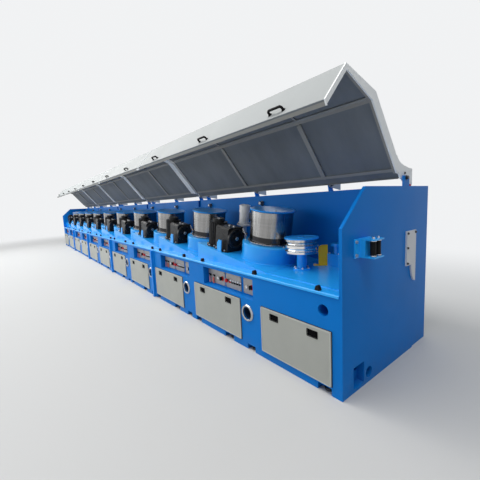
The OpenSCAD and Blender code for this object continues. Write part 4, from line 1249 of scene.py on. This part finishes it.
def either(tree, factor, lit, seen, output):
    """Shows one shader where the factor is nothing and the other where it is one."""
    mixed = node(tree, "ShaderNodeMixShader")
    link(factor, mixed.inputs["Fac"])
    link(lit, mixed.inputs[1])
    link(seen, mixed.inputs[2])
    link(mixed.outputs["Shader"], tree.nodes[output].inputs["Surface"])


def make_floor():
    """A plain pale floor that turns into the backdrop well away from the line."""
    data = bpy.data.meshes.new("floor")
    corners = ((-1, -1), (1, -1), (1, 1), (-1, 1))
    data.from_pydata([(x * FLOOR_REACH, y * FLOOR_REACH, 0) for x, y in corners], [], [(0, 1, 2, 3)])
    floor = in_scene("floor", data)
    material, tree, shader = blank("floor_pale", (0.55, 0.55, 0.54), 0.85)
    point = object_point(tree)
    along = maths(tree, "ABSOLUTE", axis_part(tree, point, "X"))
    past_end = maths(tree, "MAXIMUM", maths(tree, "SUBTRACT", along, X_NEAR), 0.0)
    aside = axis_part(tree, point, "Y")
    away = maths(tree, "SQRT", maths(tree, "ADD", times(tree, past_end, past_end),
                                     times(tree, aside, aside)))
    far = remap(tree, away, FADE_START, FADE_END, ease="SMOOTHSTEP")
    pale = node(tree, "ShaderNodeEmission")
    pale.inputs["Color"].default_value = PALE
    either(tree, times(tree, far, seen_rays(tree)), shader.outputs["BSDF"],
           pale.outputs["Emission"], "Material Output")
    data.materials.append(material)


def make_lights():
    """A soft pale world, seen as a pale backdrop, and large lamps over the line."""
    world = bpy.data.worlds.new("studio")
    bpy.context.scene.world = world
    world.use_nodes = True
    tree = world.node_tree
    plain = tree.nodes["Background"]
    plain.inputs["Color"].default_value = (0.80, 0.86, 0.95, 1)
    plain.inputs["Strength"].default_value = 0.34
    seen = node(tree, "ShaderNodeBackground")
    seen.inputs["Color"].default_value = PALE
    either(tree, seen_rays(tree), plain.outputs["Background"], seen.outputs["Background"], "World Output")
    bpy.context.scene.view_settings.view_transform = "Standard"
    area_lamp("roof_lights", (0, -2.2, 6.5), (0, -0.2, 1.0), (22.0, 3.0), 900, (1.0, 0.98, 0.95))
    area_lamp("front_windows", (-2.0, -7.0, 3.2), (2.0, 0, 1.0), (14.0, 3.4), 400, (0.95, 0.98, 1.0))
    area_lamp("back_windows", (0, 7.5, 3.6), (0, 0.5, 1.2), (18.0, 3.0), 330, (0.93, 0.97, 1.0))


def run_all(*makers):
    """Runs the makers of one step in order."""
    for make in makers:
        make()
    return {"FINISHED"}


class LINE_OT_finishes(bpy.types.Operator):
    """Paint every part of the frame with its own finish"""

    bl_idname = "line.finishes"
    bl_label = "Finishes"

    def execute(self, context):
        return run_all(make_finishes, paint_nodes)


class LINE_OT_fasteners(bpy.types.Operator):
    """Set the bolts and screws of the housing, the decks and the hinges"""

    bl_idname = "line.fasteners"
    bl_label = "Fasteners"

    def execute(self, context):
        return run_all(die_box_bolts, boss_bolts, bay_bolts, panel_screws, hinge_bolts)


class LINE_OT_doors(bpy.types.Operator):
    """Fold the doors' rims and fit the latches and the bars of the block joints"""

    bl_idname = "line.doors"
    bl_label = "Doors and joints"

    def execute(self, context):
        return run_all(door_dressing, latch_dressing, joint_bars)


class LINE_OT_ports(bpy.types.Operator):
    """Put dark cups of painted shade in the ports and stand the plinth on its levelling feet"""

    bl_idname = "line.ports"
    bl_label = "Ports and feet"

    def execute(self, context):
        return run_all(port_shade_cups, machine_feet)


class LINE_OT_controls(bpy.types.Operator):
    """Fit the switches, dials, buttons and lamps of each station"""

    bl_idname = "line.controls"
    bl_label = "Controls"

    def execute(self, context):
        return run_all(controls)


class LINE_OT_hoods(bpy.types.Operator):
    """Fit the hoods' bow handles, ribs and joint strips"""

    bl_idname = "line.hoods"
    bl_label = "Hood handles and ribs"

    def execute(self, context):
        return run_all(bow_handles, hood_ribs)


class LINE_OT_die_boxes(bpy.types.Operator):
    """Fit the covers, glands and struts of the die boxes"""

    bl_idname = "line.die_boxes"
    bl_label = "Die boxes"

    def execute(self, context):
        return run_all(die_box_dressing)


class LINE_OT_lids(bpy.types.Operator):
    """Dress the lids of the drums and the guide sheave"""

    bl_idname = "line.lids"
    bl_label = "Lids"

    def execute(self, context):
        return run_all(lid_dressing, sheave_dressing)


class LINE_OT_end_bay(bpy.types.Operator):
    """Dress the gear motor, the sensors and the end bay"""

    bl_idname = "line.end_bay"
    bl_label = "Motor, sensors and end bay"

    def execute(self, context):
        return run_all(motor_dressing, sensor_faces, bay_fittings)


class LINE_OT_stage(bpy.types.Operator):
    """Set the camera, the lamps and the floor"""

    bl_idname = "line.stage"
    bl_label = "Stage"

    def execute(self, context):
        return run_all(make_camera, make_floor, make_lights)


STEPS = [LINE_OT_finishes, LINE_OT_fasteners, LINE_OT_doors, LINE_OT_ports, LINE_OT_controls, LINE_OT_hoods,
         LINE_OT_die_boxes, LINE_OT_lids, LINE_OT_end_bay, LINE_OT_stage]


class LINE_PT_steps(bpy.types.Panel):
    """The steps of the dressing with the sizes and colours that they use"""

    bl_idname = "LINE_PT_steps"
    bl_label = "Wire Drawing Line"
    bl_space_type = "VIEW_3D"
    bl_region_type = "UI"
    bl_category = "Drawing Line"

    def draw(self, context):
        for step in STEPS:
            self.layout.operator(step.bl_idname)
        for group in (context.scene.line_sizes, context.scene.line_colours):
            box = self.layout.box()
            for name in group.__annotations__:
                box.prop(group, name)


CLASSES = [LineSizes, LineColours, *STEPS, LINE_PT_steps]


def register():
    for made in CLASSES:
        bpy.utils.register_class(made)
    bpy.types.Scene.line_sizes = bpy.props.PointerProperty(type=LineSizes)
    bpy.types.Scene.line_colours = bpy.props.PointerProperty(type=LineColours)


def unregister():
    del bpy.types.Scene.line_sizes
    del bpy.types.Scene.line_colours
    for made in reversed(CLASSES):
        bpy.utils.unregister_class(made)


def main():
    register()
    bpy.ops.line.finishes()
    bpy.ops.line.fasteners()
    bpy.ops.line.doors()
    bpy.ops.line.ports()
    bpy.ops.line.controls()
    bpy.ops.line.hoods()
    bpy.ops.line.die_boxes()
    bpy.ops.line.lids()
    bpy.ops.line.end_bay()
    bpy.ops.line.stage()


if __name__ == "__main__":
    main()
